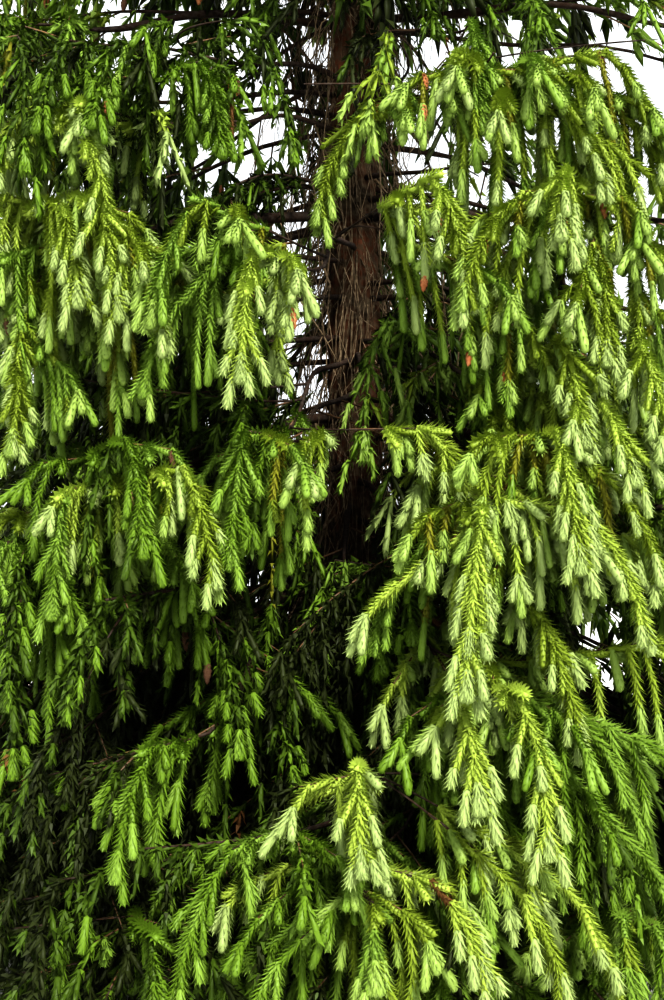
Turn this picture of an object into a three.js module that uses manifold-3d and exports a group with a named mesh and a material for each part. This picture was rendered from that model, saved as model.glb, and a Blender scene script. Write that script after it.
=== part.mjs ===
// A Norway spruce about 12 m tall, of the weeping comb form: one straight trunk, tiers of boughs
// that sweep down and lift at their tips, and curtains of needled branchlets hanging under them.
// Millimetres, +Z up. The origin is the middle of the flat cut under the trunk, at ground level.
// The side with a gap in its foliage, where the trunk shows, faces -Y.
import * as THREE from "three";
import { mergeVertices } from "three/addons/utils/BufferGeometryUtils.js";
import Module from "manifold-3d";

const wasm = await Module();
wasm.setup();

// The whole tree.
const TREE_HEIGHT = 12000;
const CROWN_RADIUS = 2750; // reach that the crown would have at ground level
const CROWN_TAPER = 0.8; // below 1 the outline bulges a little outside a plain cone
const GROUND_CLEARANCE = 70; // lowest branchlets stop this far above the ground
const SEED = 4207;
const UP = new THREE.Vector3(0, 0, 1);

// Trunk.
const TRUNK_RADIUS = 152; // before the root flare
const TRUNK_TAPER = 0.85;
const TIP_RADIUS = 6;
const FLARE = 92; // extra radius at the ground
const FLARE_HEIGHT = 190; // height over which the flare dies away
const FLARE_LOBES = 5;
const FLARE_LOBE_DEPTH = 0.32;
const LEAN = -0.011; // sideways shift per unit of height
const BOW = 35; // greatest bend of the trunk away from straight
const BOW_DEPTH = 0.4; // share of the bend that goes backward
const TRUNK_SIDES = 18;
const TRUNK_RINGS = 15;
const RING_CROWDING = 0.9; // 0 gives rings that thin out upward, 1 crowds them in the flare

// Tiers of boughs. The lowest have free boughs, the upper masses start on the trunk itself.
const TIERS = 12;
const FIRST_TIER = 1350;
const TIER_STEP = 930;
const BOUGH_TIERS = 3;
const LOW_BOUGHS = 5;
const HIGH_BOUGHS = 3;
const HIGH_TURN = THREE.MathUtils.degToRad(68); // from one upper tier to the next
const MASS_START = 0.36; // share of a bough's reach that is bare
const BOUGH_SIDES = 7;
const BOUGH_STEPS = 3;

// Pairs like these hold a value at the tree's tip and the same value at the ground.
const BOUGH_RISE = [1.1, -0.16]; // a bough's height over its start is
const BOUGH_SAG = [0.3, 0.5]; // reach * (rise * t - sag * t^2 + lift * t^4),
const BOUGH_LIFT = [0.1, 0.3]; // with t from 0 at the trunk to 1 at the bough's tip
const BOUGH_RADIUS = [5, 30];
const BOUGH_TAPER = 0.8;
const BOUGH_TIP_RADIUS = 3;

// The gap that shows the trunk.
const FRONT = -Math.PI / 2;
const FRONT_SPREAD = THREE.MathUtils.degToRad(39); // boughs beside the gap stand this far from it
const BOUGH_WOBBLE = THREE.MathUtils.degToRad(5);
const GAP_TIERS = 4; // the gap is open in all of these but the lowest
const GAP_HALF_WIDTH = 150;
const GAP_CENTRE = 30;

// The space that each mass keeps to.
const SECTOR_CLEARANCE = 22;
const TIER_CLEARANCE = 75;
const REACH_ALLOWANCE = 1.02;
const SEAT_GAP = 0.3;
const SLIVER = 0.6; // detail under this size is left out of a mass

// Stem and side twigs of a mass. Pairs here hold a value at the stem's start and at its tip.
const STEM_SIDES = 5;
const STEM_STEPS = 3;
const TWIG_SPACING = 760; // a mass has a side twig on each side for each such length of reach
const TWIG_RADIUS = 13;
const TWIG_TO_STEM = 0.6; // greatest share of the stem's radius
const TWIG_TIP = 0.4; // share of its radius that a twig keeps at its tip
const TWIG_SPREAD = [1.25, 0.75]; // radians between a twig and its stem
const TWIG_SHARES = { free: [0.05, 0.84], onTrunk: [0.2, 0.8] }; // first and last twig on the stem
const TWIG_LENGTHS = { free: [0.66, 0.32], onTrunk: [0.85, 0.32] }; // as shares of the reach
const TWIG_SAG = 0.14; // how far a twig's end lies under the roof, as a share of its length
const SHORTEST_TWIG = 0.12; // as a share of the reach
const TWIG_SHORTENING = 0.93;
const TIP_TWIG = [0.68, 0.985]; // the stretch of stem under which the tip's own curtain hangs

// Hanging curtains.
const CURTAIN_DROP = [500, 950]; // longest branchlets, at the tree's tip and at the ground
const TIP_CURTAIN_DROP = 0.75;
const CURTAIN_ROOT = [76, 162]; // least and greatest depth of the band between two teeth
const TOOTH_WIDTH = 240;
const TOOTH_SHARE = 0.7; // shortest tooth in a curtain, as a share of the longest
const TOOTH_SHIFT = 0.3; // how far a tooth's tip may shift, as a share of a half tooth
const NOTCH_THICKNESS = 14;
const SHORTEST_TOOTH = 130;
const SHORTEST_NOTCH = 35;

// Seeded random numbers from 0 to 1, so the tree is the same each time.
function seeded(seed) {
  let state = seed >>> 0;
  return () => {
    state = (state + 0x6d2b79f5) >>> 0;
    let mixed = Math.imul(state ^ (state >>> 15), state | 1);
    mixed ^= mixed + Math.imul(mixed ^ (mixed >>> 7), mixed | 61);
    return ((mixed ^ (mixed >>> 14)) >>> 0) / 4294967296;
  };
}
const between = (random, low, high) => low + (high - low) * random();
const mix = ([first, last], share) => first + (last - first) * share;

// A closed geometry as a solid, and back.
function solidOf(geometry) {
  const bare = geometry.clone();
  bare.deleteAttribute("normal");
  bare.deleteAttribute("uv");
  const merged = mergeVertices(bare, 1e-3);
  return new wasm.Manifold(
    new wasm.Mesh({
      numProp: 3,
      vertProperties: new Float32Array(merged.attributes.position.array),
      triVerts: new Uint32Array(merged.index.array),
    }),
  );
}

function geometryOf(solid) {
  const mesh = solid.getMesh();
  const geometry = new THREE.BufferGeometry();
  geometry.setAttribute("position", new THREE.BufferAttribute(mesh.vertProperties, 3));
  geometry.setIndex(new THREE.BufferAttribute(mesh.triVerts, 1));
  geometry.computeVertexNormals();
  return geometry;
}

// Joins solids and keeps the largest piece, so that a loose scrap is dropped. Slivers that the
// joins leave are then smoothed away.
function fuse(solids) {
  const joined = solids.reduce((sum, next) => sum.add(next));
  const whole = joined.decompose().reduce((a, b) => (a.volume() > b.volume() ? a : b));
  return whole.simplify(SLIVER);
}

// A limb: a cylinder bent along path(t) with radius(t), for t from 0 to 1.
function limb(path, radius, sides, steps) {
  const geometry = new THREE.CylinderGeometry(1, 1, 1, sides, steps);
  const position = geometry.attributes.position;
  const point = new THREE.Vector3();
  const ahead = 0.01;
  for (let i = 0; i < position.count; i++) {
    point.fromBufferAttribute(position, i);
    const t = point.y + 0.5;
    const forward = path(Math.min(t + ahead, 1)).sub(path(Math.max(t - ahead, 0))).normalize();
    const side = new THREE.Vector3().crossVectors(forward, UP).normalize();
    const over = new THREE.Vector3().crossVectors(side, forward);
    const place = path(t);
    place.addScaledVector(side, point.x * radius(t));
    place.addScaledVector(over, point.z * radius(t));
    position.setXYZ(i, place.x, place.y, place.z);
  }
  return geometry;
}

// Point on the straight steps that a limb is made of.
function chordPoint(path, t, steps) {
  const step = Math.min(Math.floor(t * steps), steps - 1);
  return path(step / steps).lerp(path((step + 1) / steps), t * steps - step);
}

// Trunk.
const trunkCentre = (z) => {
  const bend = BOW * Math.sin((Math.PI * z) / TREE_HEIGHT);
  return new THREE.Vector3(LEAN * z + bend, BOW_DEPTH * bend, z);
};
const trunkRadius = (z) => {
  const taper = Math.pow(Math.max(1 - z / TREE_HEIGHT, 0), TRUNK_TAPER);
  return TRUNK_RADIUS * taper + TIP_RADIUS;
};

function trunkGeometry(extra) {
  const geometry = new THREE.CylinderGeometry(1, 1, 1, TRUNK_SIDES, TRUNK_RINGS);
  const position = geometry.attributes.position;
  for (let i = 0; i < position.count; i++) {
    const t = Math.round((position.getY(i) + 0.5) * TRUNK_RINGS) / TRUNK_RINGS;
    const z = TREE_HEIGHT * t * t * (1 - RING_CROWDING + RING_CROWDING * t);
    const centre = trunkCentre(z);
    const angle = Math.atan2(position.getZ(i), position.getX(i));
    const isAxis = Math.hypot(position.getX(i), position.getZ(i)) < 0.5;
    const lobes = 1 + FLARE_LOBE_DEPTH * Math.cos(FLARE_LOBES * angle);
    const flare = FLARE * lobes * Math.exp(-z / FLARE_HEIGHT);
    const r = isAxis ? 0 : trunkRadius(z) + flare + extra;
    position.setXYZ(i, centre.x + r * Math.cos(angle), centre.y - r * Math.sin(angle), z);
  }
  return geometry;
}
const trunk = solidOf(trunkGeometry(0));
const aroundTrunk = solidOf(trunkGeometry(SEAT_GAP / Math.cos(Math.PI / TRUNK_SIDES)));

// Tiers. age is 1 at the ground, where the boughs are oldest, and 0 at the tree's tip.
const tierHeight = (tier) => FIRST_TIER + TIER_STEP * tier;
const tierAge = (tier) => 1 - tierHeight(tier) / TREE_HEIGHT;
const reach = (tier) => CROWN_RADIUS * Math.pow(tierAge(tier), CROWN_TAPER);

// Height of a tier's boughs at a distance from the trunk: old ones sag and lift again at the tip,
// young ones rise.
function boughHeight(tier, distance) {
  const age = tierAge(tier);
  const t = distance / reach(tier);
  const rise = mix(BOUGH_RISE, Math.sqrt(age)) * t;
  const sag = mix(BOUGH_SAG, age) * t ** 2;
  const lift = mix(BOUGH_LIFT, age) * t ** 4;
  return tierHeight(tier) + reach(tier) * (rise - sag + lift);
}
const boughRadius = (tier, t) => mix(BOUGH_RADIUS, tierAge(tier)) * (1 - BOUGH_TAPER * t) + BOUGH_TIP_RADIUS;

// Directions of the boughs in a tier. The lowest tier has one straight to the front, and the
// next ones leave the gap there.
function boughDirections(tier) {
  const turn = 2 * Math.PI;
  if (tier === 0) return Array.from({ length: LOW_BOUGHS }, (_, i) => FRONT + (i * turn) / LOW_BOUGHS);
  if (tier < BOUGH_TIERS) {
    const first = FRONT + FRONT_SPREAD + BOUGH_WOBBLE * Math.sin(2.4 * tier);
    const step = (turn - 2 * FRONT_SPREAD) / (LOW_BOUGHS - 1);
    return Array.from({ length: LOW_BOUGHS }, (_, i) => first + i * step);
  }
  const first = FRONT + (tier < GAP_TIERS ? Math.PI / HIGH_BOUGHS : tier * HIGH_TURN);
  return Array.from({ length: HIGH_BOUGHS }, (_, i) => first + (i * turn) / HIGH_BOUGHS);
}

// The space of one mass: a sector of its tier, under its own boughs and over the tier below.
function makeSpace(tier, index) {
  const directions = boughDirections(tier);
  const count = directions.length;
  const turn = 2 * Math.PI;
  const direction = directions[index];
  const gapTo = (other) => (((other - direction) % turn) + turn) % turn;
  const left = gapTo(directions[(index + 1) % count]) / 2;
  const right = (turn - gapTo(directions[(index + count - 1) % count])) / 2;
  const axis = trunkCentre(tierHeight(tier));
  const hasGap = tier > 0 && tier < GAP_TIERS;
  const overBelow = (distance) => boughHeight(tier - 1, distance) + TIER_CLEARANCE;
  const floor = tier === 0 ? () => GROUND_CLEARANCE : overBelow;
  const inSector = (point, room = SECTOR_CLEARANCE) => {
    const x = point.x - axis.x;
    const y = point.y - axis.y;
    const along = Math.hypot(x, y);
    let angle = (Math.atan2(y, x) - direction) % turn;
    if (angle > Math.PI) angle -= turn;
    if (angle < -Math.PI) angle += turn;
    const toSide = along * Math.sin(Math.min(angle > 0 ? left - angle : right + angle, Math.PI / 2));
    const inGap = hasGap && y < 0 && Math.abs(point.x - GAP_CENTRE) < GAP_HALF_WIDTH + room;
    return toSide > room && !inGap && along < reach(tier) * REACH_ALLOWANCE;
  };
  return { tier, axis, direction, floor, inSector };
}

// Point under a tier's roof, at a distance from the trunk and in a direction, lowered by drop.
function roofPoint(space, distance, direction, drop = 0) {
  return new THREE.Vector3(
    space.axis.x + distance * Math.cos(direction),
    space.axis.y + distance * Math.sin(direction),
    boughHeight(space.tier, distance) - drop,
  );
}

// A side twig from a to b with its curtain: a three-sided rail over a band that hangs down from it
// and narrows to a toothed lower edge. Each tooth stands for a cluster of hanging branchlets: the
// band is NOTCH_THICKNESS thick between two teeth and comes to a point at each tooth's tip.
function fringedTwig(space, a, b, radius, drop, random) {
  const run = b.clone().sub(a);
  const width = Math.hypot(run.x, run.y);
  const normal = new THREE.Vector3(-run.y, run.x, 0).setLength(1);
  const points = [];
  const addPoint = (point) => points.push(point) - 1;
  const [[frontA, backA, topA], [frontB, backB, topB]] = [a, b].map((end, i) => {
    const r = radius * (i ? TWIG_TIP : 1);
    return [
      addPoint(end.clone().addScaledVector(normal, r)),
      addPoint(end.clone().addScaledVector(normal, -r)),
      addPoint(end.clone().setZ(end.z + r)),
    ];
  });
  // The band's outline, with the numbers of its points on the front and on the back.
  const outline = [new THREE.Vector2(0, 0), new THREE.Vector2(1, 0)];
  const front = [frontA, frontB];
  const back = [backA, backB];
  const teeth = Math.max(2, Math.round(width / TOOTH_WIDTH));
  for (let step = 2 * teeth - 1; step > 0; step--) {
    const isTooth = step % 2 === 1;
    const share = (step + (isTooth ? between(random, -TOOTH_SHIFT, TOOTH_SHIFT) : 0)) / (2 * teeth);
    const low = a.clone().addScaledVector(run, share);
    const distance = Math.hypot(low.x - space.axis.x, low.y - space.axis.y);
    const room = low.z - space.floor(distance);
    const wanted = isTooth ? drop * between(random, TOOTH_SHARE, 1) : between(random, ...CURTAIN_ROOT);
    const length = Math.min(wanted, room);
    if (length < (isTooth ? SHORTEST_TOOTH : SHORTEST_NOTCH)) return null;
    low.z -= length;
    if (!space.inSector(low)) return null;
    outline.push(new THREE.Vector2(share, -length / width));
    const half = isTooth ? 0 : NOTCH_THICKNESS / 2;
    front.push(addPoint(low.clone().addScaledVector(normal, half)));
    back.push(isTooth ? points.length - 1 : addPoint(low.clone().addScaledVector(normal, -half)));
  }
  const index = THREE.ShapeUtils.triangulateShape(outline, []).flatMap(([i, j, k]) => {
    const [p, q, r] = [outline[i], outline[j], outline[k]];
    const counter = q.clone().sub(p).cross(r.clone().sub(p)) > 0;
    const [m, n] = counter ? [j, k] : [k, j];
    return [front[i], front[n], front[m], back[i], back[m], back[n]];
  });
  // The band's lower edge, between its front and its back.
  for (let i = 1; i < outline.length; i++) {
    const next = (i + 1) % outline.length;
    if (front[i] !== back[i]) index.push(front[next], front[i], back[i]);
    if (front[next] !== back[next]) index.push(front[next], back[i], back[next]);
  }
  // The rail's two upper sides and its ends.
  index.push(frontA, topB, frontB, frontA, topA, topB);
  index.push(backA, backB, topB, backA, topB, topA);
  index.push(frontB, topB, backB, frontA, backA, topA);
  const geometry = new THREE.BufferGeometry();
  geometry.setAttribute("position", new THREE.Float32BufferAttribute(points.flatMap((p) => p.toArray()), 3));
  geometry.setIndex(index);
  return solidOf(geometry);
}

// The end of a side twig that leaves the stem at a distance and runs outward to one side. It
// lies a little under the tier's roof.
function twigEnd(space, start, side, length, spread) {
  const along = start + length * Math.cos(spread);
  const across = side * length * Math.sin(spread);
  const direction = space.direction + Math.atan2(across, along);
  return roofPoint(space, Math.hypot(along, across), direction, TWIG_SAG * length);
}

// One mass of foliage: a stem, and side twigs by turns on each side, each with its curtain.
function massSolid(space, from, random) {
  const { tier } = space;
  const R = reach(tier);
  const drop = mix(CURTAIN_DROP, Math.sqrt(tierAge(tier)));
  const kind = from > 0 ? "free" : "onTrunk";
  const stemPath = (t) => roofPoint(space, from + (R - from) * t, space.direction);
  const stemRadius = (t) => boughRadius(tier, (from + (R - from) * t) / R);
  const onStem = (t) => chordPoint(stemPath, t, STEM_STEPS);
  const pieces = [solidOf(limb(stemPath, stemRadius, STEM_SIDES, STEM_STEPS))];
  const count = Math.max(2, Math.round(R / TWIG_SPACING));
  for (let n = 0; n < count; n++) {
    for (const side of [-1, 1]) {
      const turn = (n + (side > 0 ? 0 : 0.5)) / (count - 0.5);
      const share = mix(TWIG_SHARES[kind], turn);
      const spread = mix(TWIG_SPREAD, share) + between(random, -0.08, 0.08);
      const distance = from + (R - from) * share;
      // Shortened step by step until its end lies inside the space, and skipped if it is a stub.
      let length = R * mix(TWIG_LENGTHS[kind], share) * between(random, 0.9, 1.08);
      let end = twigEnd(space, distance, side, length, spread);
      while (length > SHORTEST_TWIG * R && !space.inSector(end, 2 * SECTOR_CLEARANCE)) {
        length *= TWIG_SHORTENING;
        end = twigEnd(space, distance, side, length, spread);
      }
      if (length <= SHORTEST_TWIG * R) continue;
      const radius = Math.min(TWIG_RADIUS, TWIG_TO_STEM * stemRadius(share));
      const twig = fringedTwig(space, onStem(share), end, radius, drop, random);
      if (twig) pieces.push(twig);
    }
  }
  const [tipStart, tipEnd] = TIP_TWIG.map(onStem);
  const tipRadius = 0.5 * stemRadius(0.9);
  const tipTwig = fringedTwig(space, tipStart, tipEnd, tipRadius, TIP_CURTAIN_DROP * drop, random);
  if (tipTwig) pieces.push(tipTwig);
  return fuse(pieces).subtract(aroundTrunk);
}

const BARK = new THREE.MeshStandardMaterial({ color: 0x5a3a2c, roughness: 0.95, metalness: 0 });
const BOUGH_BARK = new THREE.MeshStandardMaterial({ color: 0x6b5140, roughness: 0.95, metalness: 0 });
const NEEDLES = new THREE.MeshStandardMaterial({ color: 0x5f8f2e, roughness: 0.7, metalness: 0 });

const tree = new THREE.Group();
function addNode(name, solid, material) {
  const mesh = new THREE.Mesh(geometryOf(solid), material);
  mesh.name = name;
  tree.add(mesh);
}

addNode("trunk", trunk, BARK);
for (let tier = 0; tier < TIERS; tier++) {
  const isFree = tier < BOUGH_TIERS;
  boughDirections(tier).forEach((direction, index) => {
    const random = seeded(SEED + 97 * tier + 13 * index);
    const space = makeSpace(tier, index);
    const label = `${tier + 1}_${index + 1}`;
    const entry = MASS_START * reach(tier);
    if (isFree) {
      const path = (t) => roofPoint(space, (entry - SEAT_GAP) * t, direction);
      const radius = (t) => boughRadius(tier, MASS_START * t);
      const bough = solidOf(limb(path, radius, BOUGH_SIDES, BOUGH_STEPS));
      addNode(`bough_${label}`, bough.subtract(aroundTrunk), BOUGH_BARK);
    }
    addNode(`foliage_${label}`, massSolid(space, isFree ? entry : 0, random), NEEDLES);
  });
}

export default tree;
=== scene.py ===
# %% [markdown]
# A weeping Norway spruce, 12 m tall, seen from close by. The trunk, the boughs and the outline of
# every mass of foliage come from a solid model. This lesson dresses that model: bark with real
# relief, boughs and twigs that branch by the same rule, and sprays of needles in plain colours.

# %% The fixed frame
import math
import random

import bpy
import numpy as np
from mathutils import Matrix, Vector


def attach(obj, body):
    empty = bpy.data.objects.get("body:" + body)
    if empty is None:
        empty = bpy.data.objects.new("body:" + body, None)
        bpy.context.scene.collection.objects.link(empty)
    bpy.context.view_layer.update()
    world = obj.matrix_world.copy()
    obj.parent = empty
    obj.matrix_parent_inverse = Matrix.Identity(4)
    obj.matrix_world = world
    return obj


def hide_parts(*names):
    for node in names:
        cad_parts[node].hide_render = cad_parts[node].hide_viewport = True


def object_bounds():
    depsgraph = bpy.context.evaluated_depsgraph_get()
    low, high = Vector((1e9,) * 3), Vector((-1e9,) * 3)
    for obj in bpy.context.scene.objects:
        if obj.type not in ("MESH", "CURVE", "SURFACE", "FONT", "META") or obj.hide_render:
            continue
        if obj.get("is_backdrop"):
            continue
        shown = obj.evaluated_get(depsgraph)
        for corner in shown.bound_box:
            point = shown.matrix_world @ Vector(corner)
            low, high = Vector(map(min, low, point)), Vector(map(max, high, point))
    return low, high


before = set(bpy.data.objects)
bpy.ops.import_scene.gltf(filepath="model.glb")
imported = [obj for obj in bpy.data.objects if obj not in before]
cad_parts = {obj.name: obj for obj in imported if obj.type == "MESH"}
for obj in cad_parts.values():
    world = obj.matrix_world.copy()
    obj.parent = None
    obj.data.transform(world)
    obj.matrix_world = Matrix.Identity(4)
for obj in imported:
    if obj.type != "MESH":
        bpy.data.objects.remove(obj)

CAD_LOW, CAD_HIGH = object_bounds()
NODES = sorted(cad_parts)
print("solid model from", tuple(round(v, 2) for v in CAD_LOW), "to", tuple(round(v, 2) for v in CAD_HIGH))

# %% [markdown]
# Everything is seeded, so that the tree grows the same way each time. The helpers here clear the
# selection, because an operator acts on all that is selected, and turn arrays into a mesh, which is
# the quickest way to make a piece out of many thousands of small faces.

# %% Seeded chance and small helpers
SEED = 4207
dice = random.Random(SEED)
noise = np.random.default_rng(SEED)
ANY_TURN = 6.28  # a full turn, for a bearing by chance


def mix(pair, share):
    """The value between the two of a pair, at a share from 0 to 1."""
    return pair[0] + (pair[1] - pair[0]) * share


def deselect():
    if bpy.context.object and bpy.context.object.mode != "OBJECT":
        bpy.ops.object.mode_set(mode="OBJECT")
    bpy.ops.object.select_all(action="DESELECT")


def mesh_piece(name, points, triangles, material):
    """An object made from an array of points and an array of triangles."""
    mesh = bpy.data.meshes.new(name)
    count = len(triangles)
    mesh.vertices.add(len(points))
    mesh.vertices.foreach_set("co", np.asarray(points, np.float32).ravel())
    mesh.loops.add(3 * count)
    mesh.loops.foreach_set("vertex_index", np.asarray(triangles, np.int32).ravel())
    mesh.polygons.add(count)
    mesh.polygons.foreach_set("loop_start", np.arange(0, 3 * count, 3, dtype=np.int32))
    mesh.update(calc_edges=True)
    mesh.materials.append(material)
    piece = bpy.data.objects.new(name, mesh)
    bpy.context.scene.collection.objects.link(piece)
    return piece


def wear(piece, slot_name, *nodes):
    """Lets a piece ride with the tree and hides the solids that it stands for. slot_name is not used."""
    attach(piece, "root")
    if nodes:
        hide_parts(*nodes)
    return piece


print("helpers ready")

# %% [markdown]
# The camera stands at a person's eye height, 6.7 m in front of the trunk, and looks slightly up.
# The picture is 664 pixels wide and 1000 tall. `to_pixel` says where a point falls in it, so that
# a gap or a cone that the photograph shows can be named by its place there, and `from_pixel` goes
# back to a place in space at a given distance.

# %% Camera
PICTURE = (664, 1000)
EYE = (-0.11, -6.7, 1.6)
PITCH = math.radians(2.5)
FOCAL = 1432.0  # in pixels
SENSOR = 36.0  # millimetres
NEAREST = 0.1  # metres: no point is taken as nearer than this

camera_data = bpy.data.cameras.new("camera")
camera_data.sensor_width = SENSOR
camera_data.lens = SENSOR * FOCAL / PICTURE[1]
camera = bpy.data.objects.new("camera", camera_data)
bpy.context.scene.collection.objects.link(camera)
camera.location = EYE
camera.rotation_euler = (math.pi / 2 + PITCH, 0, 0)
bpy.context.scene.camera = camera


def to_pixel(x, y, z):
    """The pixel where a point falls, and its distance along the view."""
    dx, dy, dz = x - EYE[0], y - EYE[1], z - EYE[2]
    depth = dy * math.cos(PITCH) + dz * math.sin(PITCH)
    rise = dz * math.cos(PITCH) - dy * math.sin(PITCH)
    depth = max(depth, NEAREST)
    across = PICTURE[0] / 2 + FOCAL * dx / depth
    down = PICTURE[1] / 2 - FOCAL * rise / depth
    return across, down, depth


def from_pixel(px, py, depth):
    """The point at a pixel, at a distance along the view."""
    right = (px - PICTURE[0] / 2) * depth / FOCAL
    rise = (PICTURE[1] / 2 - py) * depth / FOCAL
    return (
        EYE[0] + right,
        EYE[1] + depth * math.cos(PITCH) - rise * math.sin(PITCH),
        EYE[2] + depth * math.sin(PITCH) + rise * math.cos(PITCH),
    )


print("lens", round(camera_data.lens, 1), "mm")

# %% [markdown]
# Foliage in the open is lit from above and from the front, and it is nearly black inside. A broad
# soft sun gives the bright tips, and a pale, even sky fills in only what it can reach.

# %% Floor and light
FLOOR_SIZE = 90.0
FLOOR_COLOUR = (0.60, 0.60, 0.58)
FLOOR_ROUGHNESS = 0.9
SUN_STRENGTH = 6.0
SUN_SOFTNESS = math.radians(16)
SUN_TURN = (math.radians(48), math.radians(10), math.radians(10))
SUN_COLOUR = (1.0, 0.98, 0.92)
SKY = (0.94, 0.97, 1.0)
SKY_STRENGTH = 1.14


def plain_material(name, colour, roughness):
    material = bpy.data.materials.new(name)
    material.use_nodes = True
    shader = material.node_tree.nodes["Principled BSDF"]
    shader.inputs["Base Color"].default_value = (*colour, 1)
    shader.inputs["Roughness"].default_value = roughness
    return material


deselect()
bpy.ops.mesh.primitive_plane_add(size=FLOOR_SIZE, location=(0, 0, 0))
floor = bpy.context.object
floor.name = "floor"
floor.data.materials.append(plain_material("pale floor", FLOOR_COLOUR, FLOOR_ROUGHNESS))
floor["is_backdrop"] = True

sun_data = bpy.data.lights.new("sun", "SUN")
sun_data.energy = SUN_STRENGTH
sun_data.angle = SUN_SOFTNESS
sun_data.color = SUN_COLOUR
sun = bpy.data.objects.new("sun", sun_data)
sun.rotation_euler = SUN_TURN
bpy.context.scene.collection.objects.link(sun)

world = bpy.data.worlds.new("sky")
world.use_nodes = True
background = world.node_tree.nodes["Background"]
background.inputs["Color"].default_value = (*SKY, 1)
background.inputs["Strength"].default_value = SKY_STRENGTH
bpy.context.scene.world = world
bpy.context.scene.view_settings.view_transform = "Standard"
bpy.context.scene.view_settings.look = "High Contrast"
print("floor", FLOOR_SIZE, "m, sun", SUN_STRENGTH)

# %% [markdown]
# The solid model was grown by a rule: tiers of boughs up a tapering trunk, old boughs sagging and
# lifting at the tip, young ones rising. The same rule is written here in metres. Because a tier
# may now be a fraction, whorls of finer boughs fit between the tiers of the solids.

# %% The growth rule
TREE_HEIGHT = CAD_HIGH.z
CROWN_RADIUS = 2.75
CROWN_TAPER = 0.8
GROUND_CLEARANCE = 0.07
TRUNK_RADIUS = 0.152
TRUNK_TAPER = 0.85
TIP_RADIUS = 0.006
FLARE = 0.092
FLARE_HEIGHT = 0.19
FLARE_LOBES = 5
FLARE_LOBE_DEPTH = 0.32
LEAN = -0.011
BOW = 0.035
BOW_DEPTH = 0.4
TIERS = 12
FIRST_TIER = 1.35
TIER_STEP = 0.93
BOUGH_TIERS = 3
LOW_BOUGHS = 5
HIGH_BOUGHS = 3
HIGH_TURN = math.radians(68)
FRONT = -math.pi / 2
FRONT_SPREAD = math.radians(39)
BOUGH_WOBBLE = math.radians(5)
WOBBLE_TURN = 2.4
GAP_TIERS = 4
BOUGH_RISE = (1.1, -0.16)  # pairs hold a value at the tree's tip and at the ground
BOUGH_SAG = (0.3, 0.5)
BOUGH_LIFT = (0.1, 0.3)
BOUGH_RADIUS = (0.005, 0.030)
BOUGH_TAPER = 0.8
BOUGH_TIP_RADIUS = 0.003
TWIG_SPREAD = (1.25, 0.75)
TWIG_SAG = 0.14


def trunk_centre(z):
    bend = BOW * math.sin(math.pi * z / TREE_HEIGHT)
    return LEAN * z + bend, BOW_DEPTH * bend


def trunk_radius(z):
    return TRUNK_RADIUS * max(1 - z / TREE_HEIGHT, 0) ** TRUNK_TAPER + TIP_RADIUS


def tier_height(tier):
    return FIRST_TIER + TIER_STEP * tier


def tier_age(tier):
    return 1 - tier_height(tier) / TREE_HEIGHT


def reach(tier):
    return CROWN_RADIUS * tier_age(tier) ** CROWN_TAPER


def bough_height(tier, distance):
    age = tier_age(tier)
    t = distance / reach(tier)
    rise = mix(BOUGH_RISE, math.sqrt(age)) * t
    curve = rise - mix(BOUGH_SAG, age) * t ** 2 + mix(BOUGH_LIFT, age) * t ** 4
    return tier_height(tier) + reach(tier) * curve


def bough_radius(tier, t):
    return mix(BOUGH_RADIUS, tier_age(tier)) * (1 - BOUGH_TAPER * t) + BOUGH_TIP_RADIUS


def bough_directions(tier):
    """Directions of the boughs of a whole tier, as in the solids."""
    turn = 2 * math.pi
    if tier == 0:
        return [FRONT + i * turn / LOW_BOUGHS for i in range(LOW_BOUGHS)]
    if tier < BOUGH_TIERS:
        first = FRONT + FRONT_SPREAD + BOUGH_WOBBLE * math.sin(WOBBLE_TURN * tier)
        step = (turn - 2 * FRONT_SPREAD) / (LOW_BOUGHS - 1)
        return [first + i * step for i in range(LOW_BOUGHS)]
    first = FRONT + (math.pi / HIGH_BOUGHS if tier < GAP_TIERS else tier * HIGH_TURN)
    return [first + i * turn / HIGH_BOUGHS for i in range(HIGH_BOUGHS)]


print("lowest tier at", tier_height(0), "m reaches", round(reach(0), 2), "m")

# %% [markdown]
# Spruce bark is made of thin rounded scales, dark grey-brown outside and red-brown where one has
# come off. It could be only a bump in the material, but the trunk shows in the gap of the foliage,
# so its relief is real. A circle is added at the ground and extruded upward ring by ring with the
# trunk's own taper and lean. Then it is subdivided. A Displace modifier with a cloud pattern makes it
# uneven, and one with a cell pattern pushes the scales out. The mesh is squashed before the cells
# and stretched again after them, so that the scales are taller than they are wide.

# %% Trunk with bark relief
TRUNK_SIDES = 36
TRUNK_RINGS = 120
RING_CROWDING = 0.62
SCALE_SIZE = 0.030
SCALE_STRETCH = 2.2
SCALE_DEPTH = 0.034
SWELL_SIZE = 0.16
SWELL_DEPTH = 0.030


def ring_height(ring):
    t = ring / TRUNK_RINGS
    return TREE_HEIGHT * ((1 - RING_CROWDING) * t + RING_CROWDING * t ** 3)


def stretch_upward(factor):
    """Scales the mesh of the active piece along Z about the ground."""
    bpy.ops.object.mode_set(mode="EDIT")
    bpy.ops.mesh.select_all(action="SELECT")
    bpy.ops.transform.resize(value=(1, 1, factor), center_override=(0, 0, 0))
    bpy.ops.object.mode_set(mode="OBJECT")


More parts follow.
